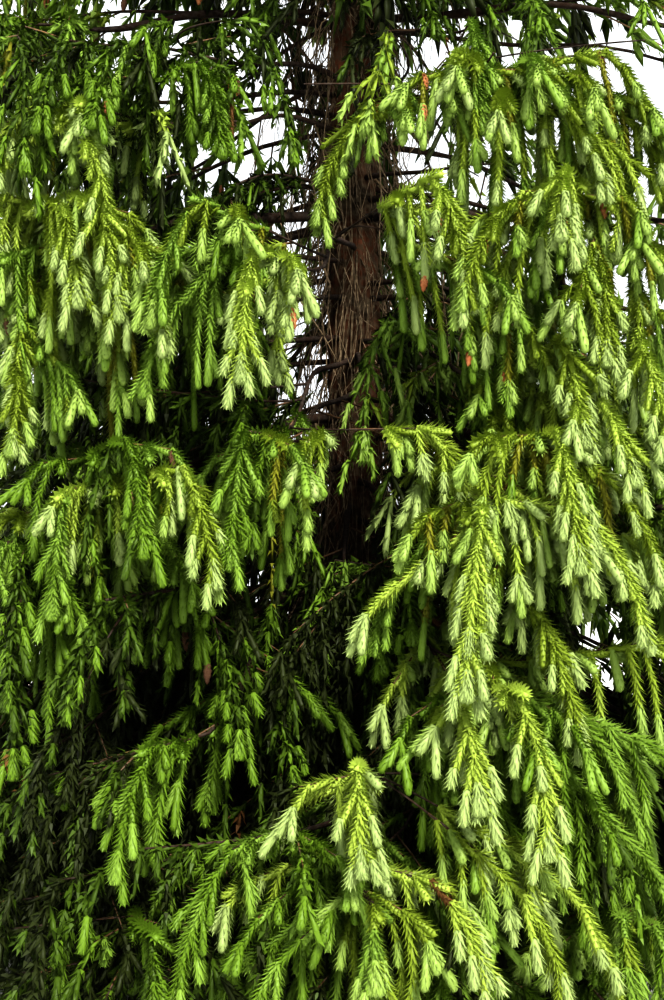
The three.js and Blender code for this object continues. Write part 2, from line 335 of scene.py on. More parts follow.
def displace(piece, texture_kind, size, depth, **settings):
    """Pushes a mesh in and out along its normals by a procedural texture."""
    texture = bpy.data.textures.new(texture_kind.lower(), texture_kind)
    texture.noise_scale = size
    for key, value in settings.items():
        setattr(texture, key, value)
    modifier = piece.modifiers.new(texture_kind.lower(), "DISPLACE")
    modifier.texture = texture
    modifier.texture_coords = "LOCAL"
    modifier.strength = depth
    modifier.mid_level = 0.5
    bpy.ops.object.modifier_apply(modifier=modifier.name)
    bpy.data.textures.remove(texture)


deselect()
bpy.ops.mesh.primitive_circle_add(vertices=TRUNK_SIDES, radius=1, fill_type="NGON", location=(0, 0, 0))
trunk = bpy.context.object
trunk.name = "trunk_bark"
start_x, start_y = trunk_centre(0)
bpy.ops.object.mode_set(mode="EDIT")
bpy.ops.mesh.select_all(action="SELECT")
bpy.ops.transform.resize(value=(trunk_radius(0),) * 3)
bpy.ops.transform.translate(value=(start_x, start_y, 0))
for ring in range(1, TRUNK_RINGS + 1):
    low, high = ring_height(ring - 1), ring_height(ring)
    (x0, y0), (x1, y1) = trunk_centre(low), trunk_centre(high)
    bpy.ops.mesh.extrude_region_move(TRANSFORM_OT_translate={"value": (x1 - x0, y1 - y0, high - low)})
    shrink = trunk_radius(high) / trunk_radius(low)
    bpy.ops.transform.resize(value=(shrink, shrink, 1), center_override=(x1, y1, high))
bpy.ops.mesh.select_all(action="SELECT")
bpy.ops.mesh.normals_make_consistent(inside=False)
bpy.ops.object.mode_set(mode="OBJECT")

# The root flare: five shallow lobes that die away upward.
for vertex in trunk.data.vertices:
    cx, cy = trunk_centre(vertex.co.z)
    x, y = vertex.co.x - cx, vertex.co.y - cy
    radius = math.hypot(x, y)
    lobes = 1 + FLARE_LOBE_DEPTH * math.cos(FLARE_LOBES * math.atan2(-y, x))
    grow = 1 + FLARE * lobes * math.exp(-vertex.co.z / FLARE_HEIGHT) / radius
    vertex.co.x = cx + x * grow
    vertex.co.y = cy + y * grow

finer_rings = trunk.modifiers.new("rings", "SUBSURF")
finer_rings.subdivision_type = "SIMPLE"
finer_rings.levels = finer_rings.render_levels = 2
bpy.ops.object.modifier_apply(modifier=finer_rings.name)
displace(trunk, "CLOUDS", SWELL_SIZE, SWELL_DEPTH)
stretch_upward(1 / SCALE_STRETCH)
displace(trunk, "VORONOI", SCALE_SIZE, SCALE_DEPTH, weight_1=-1.0, weight_2=1.0)
stretch_upward(SCALE_STRETCH)
for vertex in trunk.data.vertices:
    vertex.co.z = min(max(vertex.co.z, 0.0), TREE_HEIGHT)
print("trunk faces", len(trunk.data.polygons))

# %% [markdown]
# The bark's colour is three browns: dark and warm red-brown patches from a soft noise, and grey
# weathered edges from the same kind of cell pattern as the scales. Its grain is a bump from a finer
# noise. All three patterns take their size from the size of a scale, so that one function serves
# the trunk, the limbs, the twigs and the cones.

# %% Bark material
BARK_ROUGHNESS = 0.92
BARK_SHEEN = 0.2
PATCH_SCALE = 0.12  # patterns are counted in repeats across one scale
PATCH_DETAIL = 6
GRAIN_SCALE = 4
GRAIN_DETAIL = 4
DARK_TO_WARM = (0.35, 0.62)  # where in the noise the dark brown ends and the warm one begins
EDGE_RANGE = (0.35, 0.75)  # where in a cell its grey edge begins and is full
EDGE_SHARE = 0.7
GRAIN_STRENGTH = 0.6
GRAIN_DEPTH = 0.004
TRUNK_BROWNS = ((0.026, 0.018, 0.010), (0.130, 0.050, 0.024), (0.105, 0.080, 0.050))


def bark_material(name, browns, scale_size):
    """A bark of three browns: dark, warm and grey."""
    dark, warm, grey = browns
    material = bpy.data.materials.new(name)
    material.use_nodes = True
    nodes, links = material.node_tree.nodes, material.node_tree.links
    shader = nodes["Principled BSDF"]
    shader.inputs["Roughness"].default_value = BARK_ROUGHNESS
    shader.inputs["Specular IOR Level"].default_value = BARK_SHEEN
    place = nodes.new("ShaderNodeTexCoord")
    cells = nodes.new("ShaderNodeTexVoronoi")
    cells.feature = "F1"
    cells.inputs["Scale"].default_value = 1 / scale_size
    patches = nodes.new("ShaderNodeTexNoise")
    patches.inputs["Scale"].default_value = PATCH_SCALE / scale_size
    patches.inputs["Detail"].default_value = PATCH_DETAIL
    grain = nodes.new("ShaderNodeTexNoise")
    grain.inputs["Scale"].default_value = GRAIN_SCALE / scale_size
    grain.inputs["Detail"].default_value = GRAIN_DETAIL
    for node in (cells, patches, grain):
        links.new(place.outputs["Object"], node.inputs["Vector"])
    ramp = nodes.new("ShaderNodeValToRGB")
    for stop, colour, position in zip(ramp.color_ramp.elements, (dark, warm), DARK_TO_WARM):
        stop.color = (*colour, 1)
        stop.position = position
    links.new(patches.outputs["Fac"], ramp.inputs["Fac"])
    edge = nodes.new("ShaderNodeMapRange")
    edge.inputs["From Min"].default_value = EDGE_RANGE[0]
    edge.inputs["From Max"].default_value = EDGE_RANGE[1]
    edge.inputs["To Max"].default_value = EDGE_SHARE
    links.new(cells.outputs["Distance"], edge.inputs["Value"])
    blend = nodes.new("ShaderNodeMix")
    blend.data_type = "RGBA"
    blend.inputs["B"].default_value = (*grey, 1)
    links.new(edge.outputs["Result"], blend.inputs["Factor"])
    links.new(ramp.outputs["Color"], blend.inputs["A"])
    links.new(blend.outputs["Result"], shader.inputs["Base Color"])
    bump = nodes.new("ShaderNodeBump")
    bump.inputs["Strength"].default_value = GRAIN_STRENGTH
    bump.inputs["Distance"].default_value = GRAIN_DEPTH
    links.new(grain.outputs["Fac"], bump.inputs["Height"])
    links.new(bump.outputs["Normal"], shader.inputs["Normal"])
    return material


trunk.data.materials.append(bark_material("bark", TRUNK_BROWNS, SCALE_SIZE))
wear(trunk, "bark", "trunk")
print("bark on", trunk.name)

# %% [markdown]
# A limb, a twig and the axis of a spray are all tapering tubes, thousands of them. They are built
# together from arrays: each tube has the same number of points along it, and a ring of corners is
# laid round each point. One more point closes each end.

# %% Tubes from arrays
TINY = 1e-9
UPRIGHT = 1e-5  # a tube that runs less than this sideways is taken as upright


def tubes(routes, radii, sides):
    """Points and triangles of many tubes. routes is (tubes, points, 3), radii (tubes, points)."""
    routes = np.asarray(routes, float)
    radii = np.asarray(radii, float)
    many, steps = radii.shape
    along = np.gradient(routes, axis=1)
    along /= np.linalg.norm(along, axis=2, keepdims=True) + TINY
    whole = routes[:, -1] - routes[:, 0]
    side = np.stack([-whole[:, 1], whole[:, 0], np.zeros(many)], 1)
    side[np.linalg.norm(side, axis=1) < UPRIGHT] = (1, 0, 0)
    side /= np.linalg.norm(side, axis=1, keepdims=True)
    side = np.repeat(side[:, None, :], steps, 1)
    over = np.cross(side, along)
    over /= np.linalg.norm(over, axis=2, keepdims=True) + TINY
    angle = np.arange(sides) * 2 * math.pi / sides
    ring = np.cos(angle)[:, None] * side[:, :, None, :] + np.sin(angle)[:, None] * over[:, :, None, :]
    corners = routes[:, :, None, :] + radii[:, :, None, None] * ring
    points = np.concatenate([corners.reshape(many, -1, 3), routes[:, :1], routes[:, -1:]], 1)
    faces = []
    for first in range(0, (steps - 1) * sides, sides):
        for k in range(sides):
            here, beyond = first + k, first + (k + 1) % sides
            faces.append((here, beyond + sides, beyond))
            faces.append((here, here + sides, beyond + sides))
    last = (steps - 1) * sides
    root, tip = steps * sides, steps * sides + 1
    for k in range(sides):
        beyond = (k + 1) % sides
        faces.append((root, k, beyond))
        faces.append((tip, last + beyond, last + k))
    faces = np.array(faces)
    each = points.shape[1]
    triangles = (faces[None] + each * np.arange(many)[:, None, None]).reshape(-1, 3)
    return points.reshape(-1, 3), triangles


class Heap:
    """Gathers arrays of points and triangles into one."""

    def __init__(self):
        self.points, self.triangles, self.count = [], [], 0

    def add(self, points, triangles):
        self.points.append(points)
        self.triangles.append(triangles + self.count)
        self.count += len(points)

    def arrays(self):
        return np.concatenate(self.points), np.concatenate(self.triangles)


print("tubes ready")

# %% [markdown]
# The photograph shows the trunk through a gap in the foliage, and pale background through smaller
# gaps. Each is a box in the picture (left, top, right, bottom) with the nearest and farthest distance
# that it clears and the share of sprays that it takes out. The far side of the tree keeps more.

# %% Gaps in the foliage
OPENINGS = {  # left, top, right, bottom, nearest, farthest, share
    "trunk in the gap": (326, 215, 384, 560, 0.0, 6.45, 0.97),
    "trunk above the gap": (328, 20, 358, 215, 0.0, 6.45, 0.93),
    "pale gap left of the trunk": (292, 190, 332, 455, 5.1, 12.0, 0.88),
    "upper gap left of the trunk": (298, 100, 330, 225, 0.0, 12.0, 0.84),
    "top gap left of the trunk": (270, 0, 326, 40, 5.4, 12.0, 0.45),
    "upper gap right of the trunk": (396, 0, 442, 240, 5.2, 12.0, 0.7),
    "specks right of the trunk": (442, 0, 520, 240, 5.2, 12.0, 0.7),
    "top left gap": (90, 0, 200, 34, 5.4, 12.0, 0.8),
    "upper specks": (150, 50, 296, 170, 5.5, 12.0, 0.65),
    "right edge gap": (556, 0, 664, 290, 5.15, 12.0, 0.82),
    "pale gap at the right": (560, 600, 616, 685, 4.9, 12.0, 0.9),
    "specks at the right": (560, 300, 664, 350, 5.1, 12.0, 0.8),
    "hollow left of the trunk": (192, 560, 326, 830, 0.0, 4.9, 0.5),
    "hollow right of the trunk": (384, 600, 428, 850, 0.0, 4.9, 0.9),
    "hollow under the bright sprays": (440, 330, 500, 430, 0.0, 4.9, 0.4),
    "hollow at the left": (96, 600, 192, 720, 0.0, 4.9, 0.4),
}
FAR_SIDE = 7.2  # metres from the camera
FAR_SHARE = 0.7


def is_open(x, y, z):
    """Whether a spray at this point would hide what a gap shows."""
    px, py, depth = to_pixel(x, y, z)
    for left, top, right, bottom, near, far, share in OPENINGS.values():
        if left < px < right and top < py < bottom and near < depth < far:
            return dice.random() < share * (FAR_SHARE if depth > FAR_SIDE else 1)
    return False


print(len(OPENINGS), "gaps")

# %% [markdown]
# A shoot is the unit of a spruce's foliage. A fresh one is a blunt finger of soft needles pressed
# forward. An older one is a fuzzy rope: a thin axis whose stiffer needles stand off all round. Both
# are templates: a closed body of a few faces, and single needles that stand on it. There are three
# grades of each, with more or fewer faces. A corner has four numbers: two across the shoot in units
# of its radius, one along it in units of its length, and one along it in units of its radius, so
# that needles keep their angle on a shoot of any length.

# %% Shoot templates
BODY_ROOT = -0.04  # where a body closes behind its first ring, as a share of the length
BODY_TIP = 0.15  # and beyond its last, in units of the radius
NEEDLES_FROM = 0.02
NEEDLES_OVER = 0.94
RING_TURN = 0.17  # how far each ring of needles turns on from the last, in needles
NEEDLE_FOOT = 0.3
TAPER_FROM = 0.65
TIP_NARROWING = 0.3
TIP_CLOSING = 0.45


def shoot_template(sides, profile, rings, around, needle_width, lean):
    """Corners and triangles of one shoot. profile lists (share of length, radius) of its body."""
    corners, faces = [], []
    for ring, (along, radius) in enumerate(profile):
        for k in range(sides):
            turn = 2 * math.pi * (k + 0.5 * ring) / sides
            corners.append((radius * math.cos(turn), radius * math.sin(turn), along, 0))
    last = (len(profile) - 1) * sides
    for here in range(0, last, sides):
        above = here + sides
        for k in range(sides):
            beyond = (k + 1) % sides
            faces.append((here + k, here + beyond, above + k))
            faces.append((here + beyond, above + beyond, above + k))
    root, tip = len(corners), len(corners) + 1
    corners.append((0, 0, BODY_ROOT, 0))
    corners.append((0, 0, 1.0, BODY_TIP))
    for k in range(sides):
        beyond = (k + 1) % sides
        faces.append((root, beyond, k))
        faces.append((tip, last + k, last + beyond))
    for ring in range(rings):
        share = NEEDLES_FROM + NEEDLES_OVER * (ring + 0.5) / rings
        near_tip = max(0.0, (share - TAPER_FROM) / (1 - TAPER_FROM))
        out = 1.0 - TIP_NARROWING * near_tip
        for k in range(around):
            turn = 2 * math.pi * (k + 0.5 * (ring % 2) + RING_TURN * ring) / around
            x, y = math.cos(turn), math.sin(turn)
            half = needle_width / 2
            first = len(corners)
            corners.append((NEEDLE_FOOT * x - half * y, NEEDLE_FOOT * y + half * x, share, 0))
            corners.append((NEEDLE_FOOT * x + half * y, NEEDLE_FOOT * y - half * x, share, 0))
            corners.append((out * x, out * y, share, lean * (1 - TIP_CLOSING * near_tip)))
            faces.append((first, first + 1, first + 2))
    return np.array(corners, float), np.array(faces)


TEMPLATES = {  # sides and profile of the body, rings, needles in a ring, their width and lean
    "fine finger": shoot_template(4, ((0.04, 0.42), (0.86, 0.58), (0.99, 0.40)), 6, 7, 0.28, 0.85),
    "fine feather": shoot_template(3, ((0.02, 0.40), (0.98, 0.40)), 9, 7, 0.27, 0.62),
    "mid finger": shoot_template(3, ((0.05, 0.32), (0.86, 0.42)), 5, 3, 0.44, 1.0),
    "mid feather": shoot_template(3, ((0.5, 0.36),), 4, 3, 0.50, 0.8),
    "coarse finger": shoot_template(3, ((0.70, 0.50),), 1, 4, 0.75, 1.4),
    "coarse feather": shoot_template(3, ((0.5, 0.38),), 2, 2, 0.95, 1.2),
}
STEP = {"fine": 0.11, "mid": 0.17, "coarse": 0.21}
SHOOT_RADIUS = {"fine": 0.0295, "mid": 0.031, "coarse": 0.041}
ROPE_GROWTH = 1.12  # an old shoot is wider than a fresh one, because its needles stand off
SIDE_SHARE = {"fine": 0.35, "mid": 0.30, "coarse": 0.85}
for name, (corners, faces) in TEMPLATES.items():
    print(name, "has", len(faces), "triangles")

# %% [markdown]
# A shoot's colour tells its age and how much light reaches it. The youngest shoots are a pale mint,
# last year's are green or yellow-green, and all of them take darker classes the less light reaches
# their place: painted light and shade, on top of the darker green that shade needles really have. A
# painted pattern could colour them, but one plain colour for each class of shoot stays the same from
# every side. A shoot is only noted here, with the names of its template and its colour, and becomes a
# mesh afterwards.

# %% How much light colours a shoot
RUST_SHARE = 0.004
SHOOT_SPREAD = 0.05  # how unlike in light the shoots of one strand are
STRAND_SPREAD = 0.12  # and the strands of one twig
GOLD_SHARE = 0.35  # some strands at middling light, above the first height, are yellow-brown
GOLD_LIGHT = (0.40, 0.86)
GOLD_HEIGHT = (1.2, 1.8)
DEEP_LIGHT = 0.34
DEEP_GROWTH = 1.15
DIM_LIGHT = 0.30
VIGOROUS_LIGHT = 0.70
VIGOROUS_GROWTH = 1.10
SHADED = 0.22  # painted shadow: light taken from the shoots low down on the tree's left, as if a neighbouring tree shaded them
SHADED_SIDE = (0.2, -0.5)  # across the tree, from where that painted shadow begins to where it is full
SHADED_HEIGHT = (2.3, 1.5)
# painted light and shade: the more light, the lighter the class, down to the near-black shade
FRESH_LIMITS = ((0.92, "mint"), (0.68, "pale"), (0.46, "jade"), (0.28, "leaf"), (0.12, "deep"))
OLD_LIMITS = ((0.93, "lime"), (0.66, "olive"), (0.44, "jade"), (0.28, "leaf"), (0.10, "deep"))
shoots = []  # (template, colour, place, direction, length, radius)


def colour_of(light, age):
    """The colour class of a shoot, from its age in years and the light and shade painted into it."""
    if age > 0 and dice.random() < RUST_SHARE:
        return "rust"
    score = light + dice.gauss(0, SHOOT_SPREAD)
    for limit, colour in FRESH_LIMITS if age == 0 else OLD_LIMITS:
        if score > limit:
            return colour
    return "shade"


def ramp(value, start, full):
    """0 at start, 1 at full, and in proportion between them."""
    return min(max((value - start) / (full - start), 0.0), 1.0)


def add_shoot(level, light, age, place, direction, length, radius, golden=False):
    """Notes one shoot. golden makes an old one yellow-brown."""
    # painted shadow: shoots low on the tree's left lose light and so take darker colours
    light -= SHADED * ramp(place[0], *SHADED_SIDE) * ramp(place[2], *SHADED_HEIGHT)
    kind = " finger" if age == 0 else " feather"
    if level == "coarse" and light < DEEP_LIGHT:
        length, radius = DEEP_GROWTH * length, DEEP_GROWTH * radius
    if level == "fine" and light < DIM_LIGHT:
        level = "mid"
    if age == 0 and light > VIGOROUS_LIGHT:
        radius *= VIGOROUS_GROWTH
    if age > 0 and level != "coarse":
        radius *= ROPE_GROWTH
    colour = "gold" if golden and age > 0 else colour_of(light, age)
    shoots.append((level + kind, colour, place, direction, length, radius))


print("light colours shoots from", FRESH_LIMITS[-1][1], "to", FRESH_LIMITS[0][1])

# %% [markdown]
# Growing takes a few turns of direction: a step onward, a shoot that leaves at an angle, one that
# droops, and one that hangs at a given tilt. They are plain sums on three numbers. The last helper
# here finds the shoot in front at a place in the picture, for what hangs from it.

# %% Directions
HORIZONTAL = 1e-4  # a direction with less sideways part than this is taken as upright
SNAP = 8  # pixels
SNAP_COST = 0.02  # metres nearer to the camera that make up for one pixel farther off
CONE_RISE = 6  # pixels from a cone's middle up to where it hangs
HANGING = -0.5


def unit(x, y, z):
    length = math.sqrt(x * x + y * y + z * z) or 1.0
    return x / length, y / length, z / length


def step_from(place, direction, length):
    return tuple(p + d * length for p, d in zip(place, direction))


def beside(direction, turn, spread):
    """A direction at an angle to another one, turned round it."""
    dx, dy, dz = direction
    flat = math.hypot(dx, dy)
    side = (-dy / flat, dx / flat, 0.0) if flat > HORIZONTAL else (1.0, 0.0, 0.0)
    over = (dy * side[2] - dz * side[1], dz * side[0] - dx * side[2], dx * side[1] - dy * side[0])
    across, upward = math.cos(turn) * math.sin(spread), math.sin(turn) * math.sin(spread)
    ahead = math.cos(spread)
    return unit(*(ahead * d + across * a + upward * b for d, a, b in zip(direction, side, over)))


def drooped(direction, amount):
    return unit(direction[0], direction[1], direction[2] - amount)


def slanted(bearing, tilt):
    """The direction of a bearing, tilted below the horizon."""
    return math.cos(tilt) * math.cos(bearing), math.cos(tilt) * math.sin(bearing), -math.sin(tilt)


def foremost(px, py):
    """Where the foremost hanging shoot near a pixel begins, to hang a cone or a dead tip there."""
    def cost(shoot):
        sx, sy, depth = to_pixel(*shoot[2])
        off = math.hypot(sx - px, sy - py + CONE_RISE)
        return depth + SNAP_COST * max(0.0, off - SNAP)

    hanging = (shoot for shoot in shoots if shoot[0].startswith("fine") and shoot[3][2] < HANGING)
    return min(hanging, key=cost)[2]


print("directions ready")

# %% [markdown]
# A hanging strand is a rope of shoots that starts along its twig and soon hangs plumb, with a side
# shoot here and there and fresh fingers at its tip. A curve with a round bevel could stand for it,
# but its outline would be smooth, and a spruce's rope shows every shoot that it is made of.

# %% Strands
HANG = 1.50  # radians below the horizon
FALL_RATE = 0.65  # share of the way to plumb that a strand turns at each shoot
FIRST_FALL = (0.4, 1.2)
STRAND_SWAY = 0.2
FALL_SWAY = 0.06
STRAND_CLEARANCE = 0.03
SHORTEST_STRAND = 0.6  # in shoots
LOOKED_AT = (0.1, 0.5, 0.9)  # shares of a strand at which it is kept out of the gaps
STRAND_RADIUS = (0.85, 1.1)
OVERLAP = 1.06
FORKS = (0, 0, 1, 2)  # fresh shoots beside the last one
FORK_TURNS = ((0, 3), (3, 6))
FORK_SPREAD = (0.3, 0.5)
FORK_LENGTH = (0.6, 0.9)
FORK_DROOP = 0.2
FORK_LIGHT = 0.1
SIDE_RADIUS = 0.95
SIDE_SPREAD = (0.35, 0.6)
SIDE_LENGTH = (0.6, 1.0)
SIDE_DROOP = (0.5, 0.6)
LONGER_SHARE = 0.55
LONGER_LIGHT = 0.05
JOIN = 0.94  # where on a shoot the next one begins
strand_tips = []


def fork_tip(place, ahead, step, radius, level, light):
    """Up to two fresh shoots beside the last one of a strand."""
    turns = [dice.uniform(*limits) for limits in FORK_TURNS]
    for turn in turns[:dice.choice(FORKS)]:
        aside = drooped(beside(ahead, turn, dice.uniform(*FORK_SPREAD)), FORK_DROOP)
        length = dice.uniform(*FORK_LENGTH) * step
        add_shoot(level, light + FORK_LIGHT, 0, place, aside, length, radius)


def grow_side_shoot(place, ahead, turn, level, light):
    """A side shoot that hangs close to its strand, sometimes with a fresh one beyond it."""
    radius = SIDE_RADIUS * SHOOT_RADIUS[level]
    direction = drooped(beside(ahead, turn, dice.uniform(*SIDE_SPREAD)), SIDE_DROOP[0])
    length = dice.uniform(*SIDE_LENGTH) * STEP[level]
    longer = level != "coarse" and dice.random() < LONGER_SHARE
    age = int(longer or dice.random() < 0.5)
    add_shoot(level, light, age, place, direction, length, radius)
    if longer:
        end = step_from(place, direction, JOIN * length)
        onward = drooped(direction, SIDE_DROOP[1])
        add_shoot(level, light + LONGER_LIGHT, 0, end, onward, 0.8 * length, radius)


def grow_strand(start, bearing, length, level, light):
    """A hanging rope of shoots, in the direction of its twig at first."""
    length = min(length, start[2] - GROUND_CLEARANCE - STRAND_CLEARANCE)
    if length < SHORTEST_STRAND * STEP[level]:
        return
    if any(is_open(start[0], start[1], start[2] - share * length) for share in LOOKED_AT):
        return
    count = max(1, round(length / STEP[level]))
    step = length / count
    radius = SHOOT_RADIUS[level] * dice.uniform(*STRAND_RADIUS)
    fall = dice.uniform(*FIRST_FALL)
    gold_share = GOLD_SHARE * ramp(start[2], *GOLD_HEIGHT)
    golden = GOLD_LIGHT[0] < light < GOLD_LIGHT[1] and dice.random() < gold_share
    place = start
    for i in range(count):
        fall += (HANG - fall) * FALL_RATE
        bearing += dice.gauss(0, STRAND_SWAY)
        ahead = slanted(bearing, fall + dice.gauss(0, FALL_SWAY))
        add_shoot(level, light, count - 1 - i, place, ahead, OVERLAP * step, radius, golden)
        if i == count - 1 and level != "coarse":
            fork_tip(place, ahead, step, radius, level, light)
        place = step_from(place, ahead, step)
        if dice.random() < SIDE_SHARE[level] and i < count - 1:
            grow_side_shoot(place, ahead, dice.uniform(0, ANY_TURN), level, light)
    strand_tips.append(place)


print("strands can grow")

# %% [markdown]
# A twig ends in a flat spray: an axis that arches over, with side shoots in pairs like a herringbone,
# most of them tipped with a fresh one. Behind the spray the twig is needled along its length, and
# strands hang under it. A particle system could scatter shoots over a twig, but it wouldn't set them
# in pairs or hang them in ropes, so they are placed one after the other.

# %% Sprays and side twigs
FRESH_SHARE = 0.75
FRESH_LIGHT = 0.12
SPRAY_TILT = (0.15, 0.5)
SPRAY_FALL = 1.35  # radians below the horizon that a spray's axis bends towards
SPRAY_RATE = 0.4
SPRAY_SWAY = 0.12
SPRAY_STEP = (0.85, 0.8)  # length and spacing of the shoots of its axis, in steps
BARB_TURN = 0.5
BARB_SPREAD = (0.4, 0.95)
BARB_DROOP = (0.5, 1.0)
BARB_LENGTH = (0.6, 1.15)
BARB_LONGEST = 1.3  # at the foot of the spray, in steps
BARB_SHORTENING = 0.6
BARB_END_LENGTH = (0.4, 0.9)
BARB_END_RADIUS = (0.9, 1.1)
BARB_END_DROOP = 0.7
TIP_FAN = (-0.4, 0.0, 0.4)
TIP_DROOP = 0.3
BARE_FOOT = 0.3  # the most of a twig's length that has no needles, and in steps at its end
TWIG_OVERLAP = 1.08
TWIG_SIDE_SPREAD = (0.5, 0.9)
TWIG_SIDE_DROOP = 0.5
TWIG_SIDE_OLD = 0.6
STRAND_LENGTH = (0.3, 1.3)
STRAND_SHORTENING = 0.35
STRAND_TURN = 0.6
STRAND_SHADE = 0.12
FIRST_STRAND = (0.2, 0.8)
NEXT_STRAND = (0.7, 1.3)
twigs = []  # routes


def grow_barb(place, ahead, side, joint, joints, level, light):
    """A side shoot of a spray, mostly with a fresh one at its end."""
    step, radius = STEP[level], SHOOT_RADIUS[level]
    turn = side + dice.gauss(0, BARB_TURN)
    aside = drooped(beside(ahead, turn, dice.uniform(*BARB_SPREAD)), dice.uniform(*BARB_DROOP))
    length = step * (BARB_LONGEST - BARB_SHORTENING * joint / joints) * dice.uniform(*BARB_LENGTH)
    add_shoot(level, light, int(joints > 1), place, aside, length, SIDE_RADIUS * radius)
    if joints > 1 and level != "coarse" and dice.random() < FRESH_SHARE:
        end = step_from(place, aside, JOIN * length)
        onward = drooped(aside, BARB_END_DROOP)
        fresh = step * dice.uniform(*BARB_END_LENGTH)
        radius *= dice.uniform(*BARB_END_RADIUS)
        add_shoot(level, light + FRESH_LIGHT, 0, end, onward, fresh, radius)


def grow_spray(place, bearing, level, light, joints):
    """The flat spray at the end of a twig: it runs outward and arches over."""
    step, radius = STEP[level], SHOOT_RADIUS[level]
    tilt = dice.uniform(*SPRAY_TILT)
    for joint in range(joints):
        tilt += (SPRAY_FALL - tilt) * SPRAY_RATE
        bearing += dice.gauss(0, SPRAY_SWAY)
        ahead = slanted(bearing, tilt)
        add_shoot(level, light, 1, place, ahead, SPRAY_STEP[0] * step, radius)
        place = step_from(place, ahead, SPRAY_STEP[1] * step)
        for side in (0, math.pi):
            grow_barb(place, ahead, side, joint, joints, level, light)
    for side in TIP_FAN if joints > 1 else TIP_FAN[:1]:
        onward = drooped(slanted(bearing + side, tilt), TIP_DROOP)
        add_shoot(level, light + FRESH_LIGHT, 0, place, onward, 0.8 * step, radius)


def needle_twig(where, total, level, light):
    """Shoots along a twig and beside it. Says whether most of it lies outside the gaps."""
    step, radius = STEP[level], SHOOT_RADIUS[level]
    run = BARE_FOOT * total * dice.random()
    kept = left_out = 0
    side = dice.choice((0, math.pi))
    while run < total - BARE_FOOT * step:
        place, onward = where(run), where(min(run + step, total))
        direction = unit(*(b - a for a, b in zip(place, onward)))
        if is_open(*place):
            left_out += 1
        else:
            kept += 1
            add_shoot(level, light, 2, place, direction, TWIG_OVERLAP * step, radius)
            for turn in (side,) if level == "fine" else (0, math.pi):
                aside = drooped(beside(direction, turn, dice.uniform(*TWIG_SIDE_SPREAD)), TWIG_SIDE_DROOP)
                age = int(dice.random() < TWIG_SIDE_OLD)
                add_shoot(level, light, age, place, aside, dice.uniform(*SIDE_LENGTH) * step, radius)
            side = math.pi - side
        run += step
    return kept > left_out


def grow_twig(route, level, light, strand_length, spacing, joints=1):
    """A side twig along a route: needled, with strands hanging under it and a spray at its end."""
    if is_open(*route[-1]) or is_open(*route[len(route) // 2]):
        return
    points = np.array(route)
    pieces = np.linalg.norm(np.diff(points, axis=0), axis=1)
    total = pieces.sum()
    at = np.concatenate([[0], np.cumsum(pieces)])

    def where(run):
        return tuple(float(np.interp(run, at, points[:, k])) for k in range(3))

    bearing = math.atan2(route[-1][1] - route[0][1], route[-1][0] - route[0][0])
    mostly_kept = needle_twig(where, total, level, light)
    run = spacing * dice.uniform(*FIRST_STRAND)
    while run < total:
        share = run / total
        length = strand_length * dice.uniform(*STRAND_LENGTH) * (1 - STRAND_SHORTENING * share)
        strand_light = light - STRAND_SHADE + STRAND_SHADE * share + dice.gauss(0, STRAND_SPREAD)
        grow_strand(where(run), bearing + dice.gauss(0, STRAND_TURN), length, level, strand_light)
        run += spacing * dice.uniform(*NEXT_STRAND)
    grow_spray(route[-1], bearing, level, light, joints)
    if mostly_kept:
        twigs.append(route)


print("twigs can grow")

# %% [markdown]
# Now the tree grows. Side twigs leave a bough by turns, as in the solids. What the camera sees close
# by gets life-size shoots with many needles, what lies behind that gets fewer, and the rest of the
# tree gets larger, plainer sprays, in the same places and to the same reach. Deep in the crown,
# where only their shade shows, sprays are broader still.

# %% Boughs and side twigs
SIDE_TWIG_STEP = {"fine": 0.25, "mid": 0.26, "coarse": 0.26}
STRAND_SPACING = {"fine": 0.070, "mid": 0.115, "coarse": 0.16}
LOWEST_TWIG = 0.22
STRAND_DROP = (0.30, 0.72)  # metres, at the tree's tip and at the ground
LOW_TIER = 0.9
LOW_DROP = 1.35
TWIG_LENGTH = (0.46, 0.20)  # shares of the reach, at the trunk and at the bough's tip
TWIG_CURVE = 0.22
TIP_LIGHT = (0.66, 0.82)  # in the lowest tier and above the main tiers
MAIN_TIERS = 4
TIP_SHARE = 0.945  # where a limb ends, because its fan of shoots reaches on
THIN_LIMB = 0.55
UNEVEN_LIGHT = 0.13
ROUTE_POINTS = 5
LIMB_POINTS = 14
NEAR_ENOUGH = {"fine": 5.3, "mid": 6.4}  # metres from the camera
MARGIN = 50  # pixels outside the picture that still count as seen
SHORTER_TRIES = 12
SHORTENING = 0.9
TWIG_TURN_SPREAD = 0.12
LEVELLING = 0.5  # how much of its limb's slope a twig takes on
TWIG_LENGTHS = (0.75, 1.1)
HANG_RANGE = (0.8, 1.1)
NEXT_TWIG = (0.8, 1.2)
TIP_MARGIN = 0.06
INNER_LIGHT = 0.14
LIGHT_CURVE = 1.8
ROOTED = 0.7  # a limb starts inside the trunk
LIMB_CURL = 0.10
LIMB_SWAY = (0.015, 0.04)
SWAY_WAVE = 4.2
DIP = 0.035
DIP_WAVE = 5.1
limbs = []  # (route, radii)


def level_at(x, y, z):
    """How much detail a place gets, from where it falls in the picture."""
    px, py, depth = to_pixel(x, y, z)
    seen = -MARGIN < px < PICTURE[0] + MARGIN and -MARGIN < py < PICTURE[1] + MARGIN
    for level, farthest in NEAR_ENOUGH.items():
        if seen and depth < farthest:
            return level
    return "coarse"


def from_trunk(place):
    """How far a place lies from the trunk's axis."""
    cx, cy = trunk_centre(place[2])
    return math.hypot(place[0] - cx, place[1] - cy)


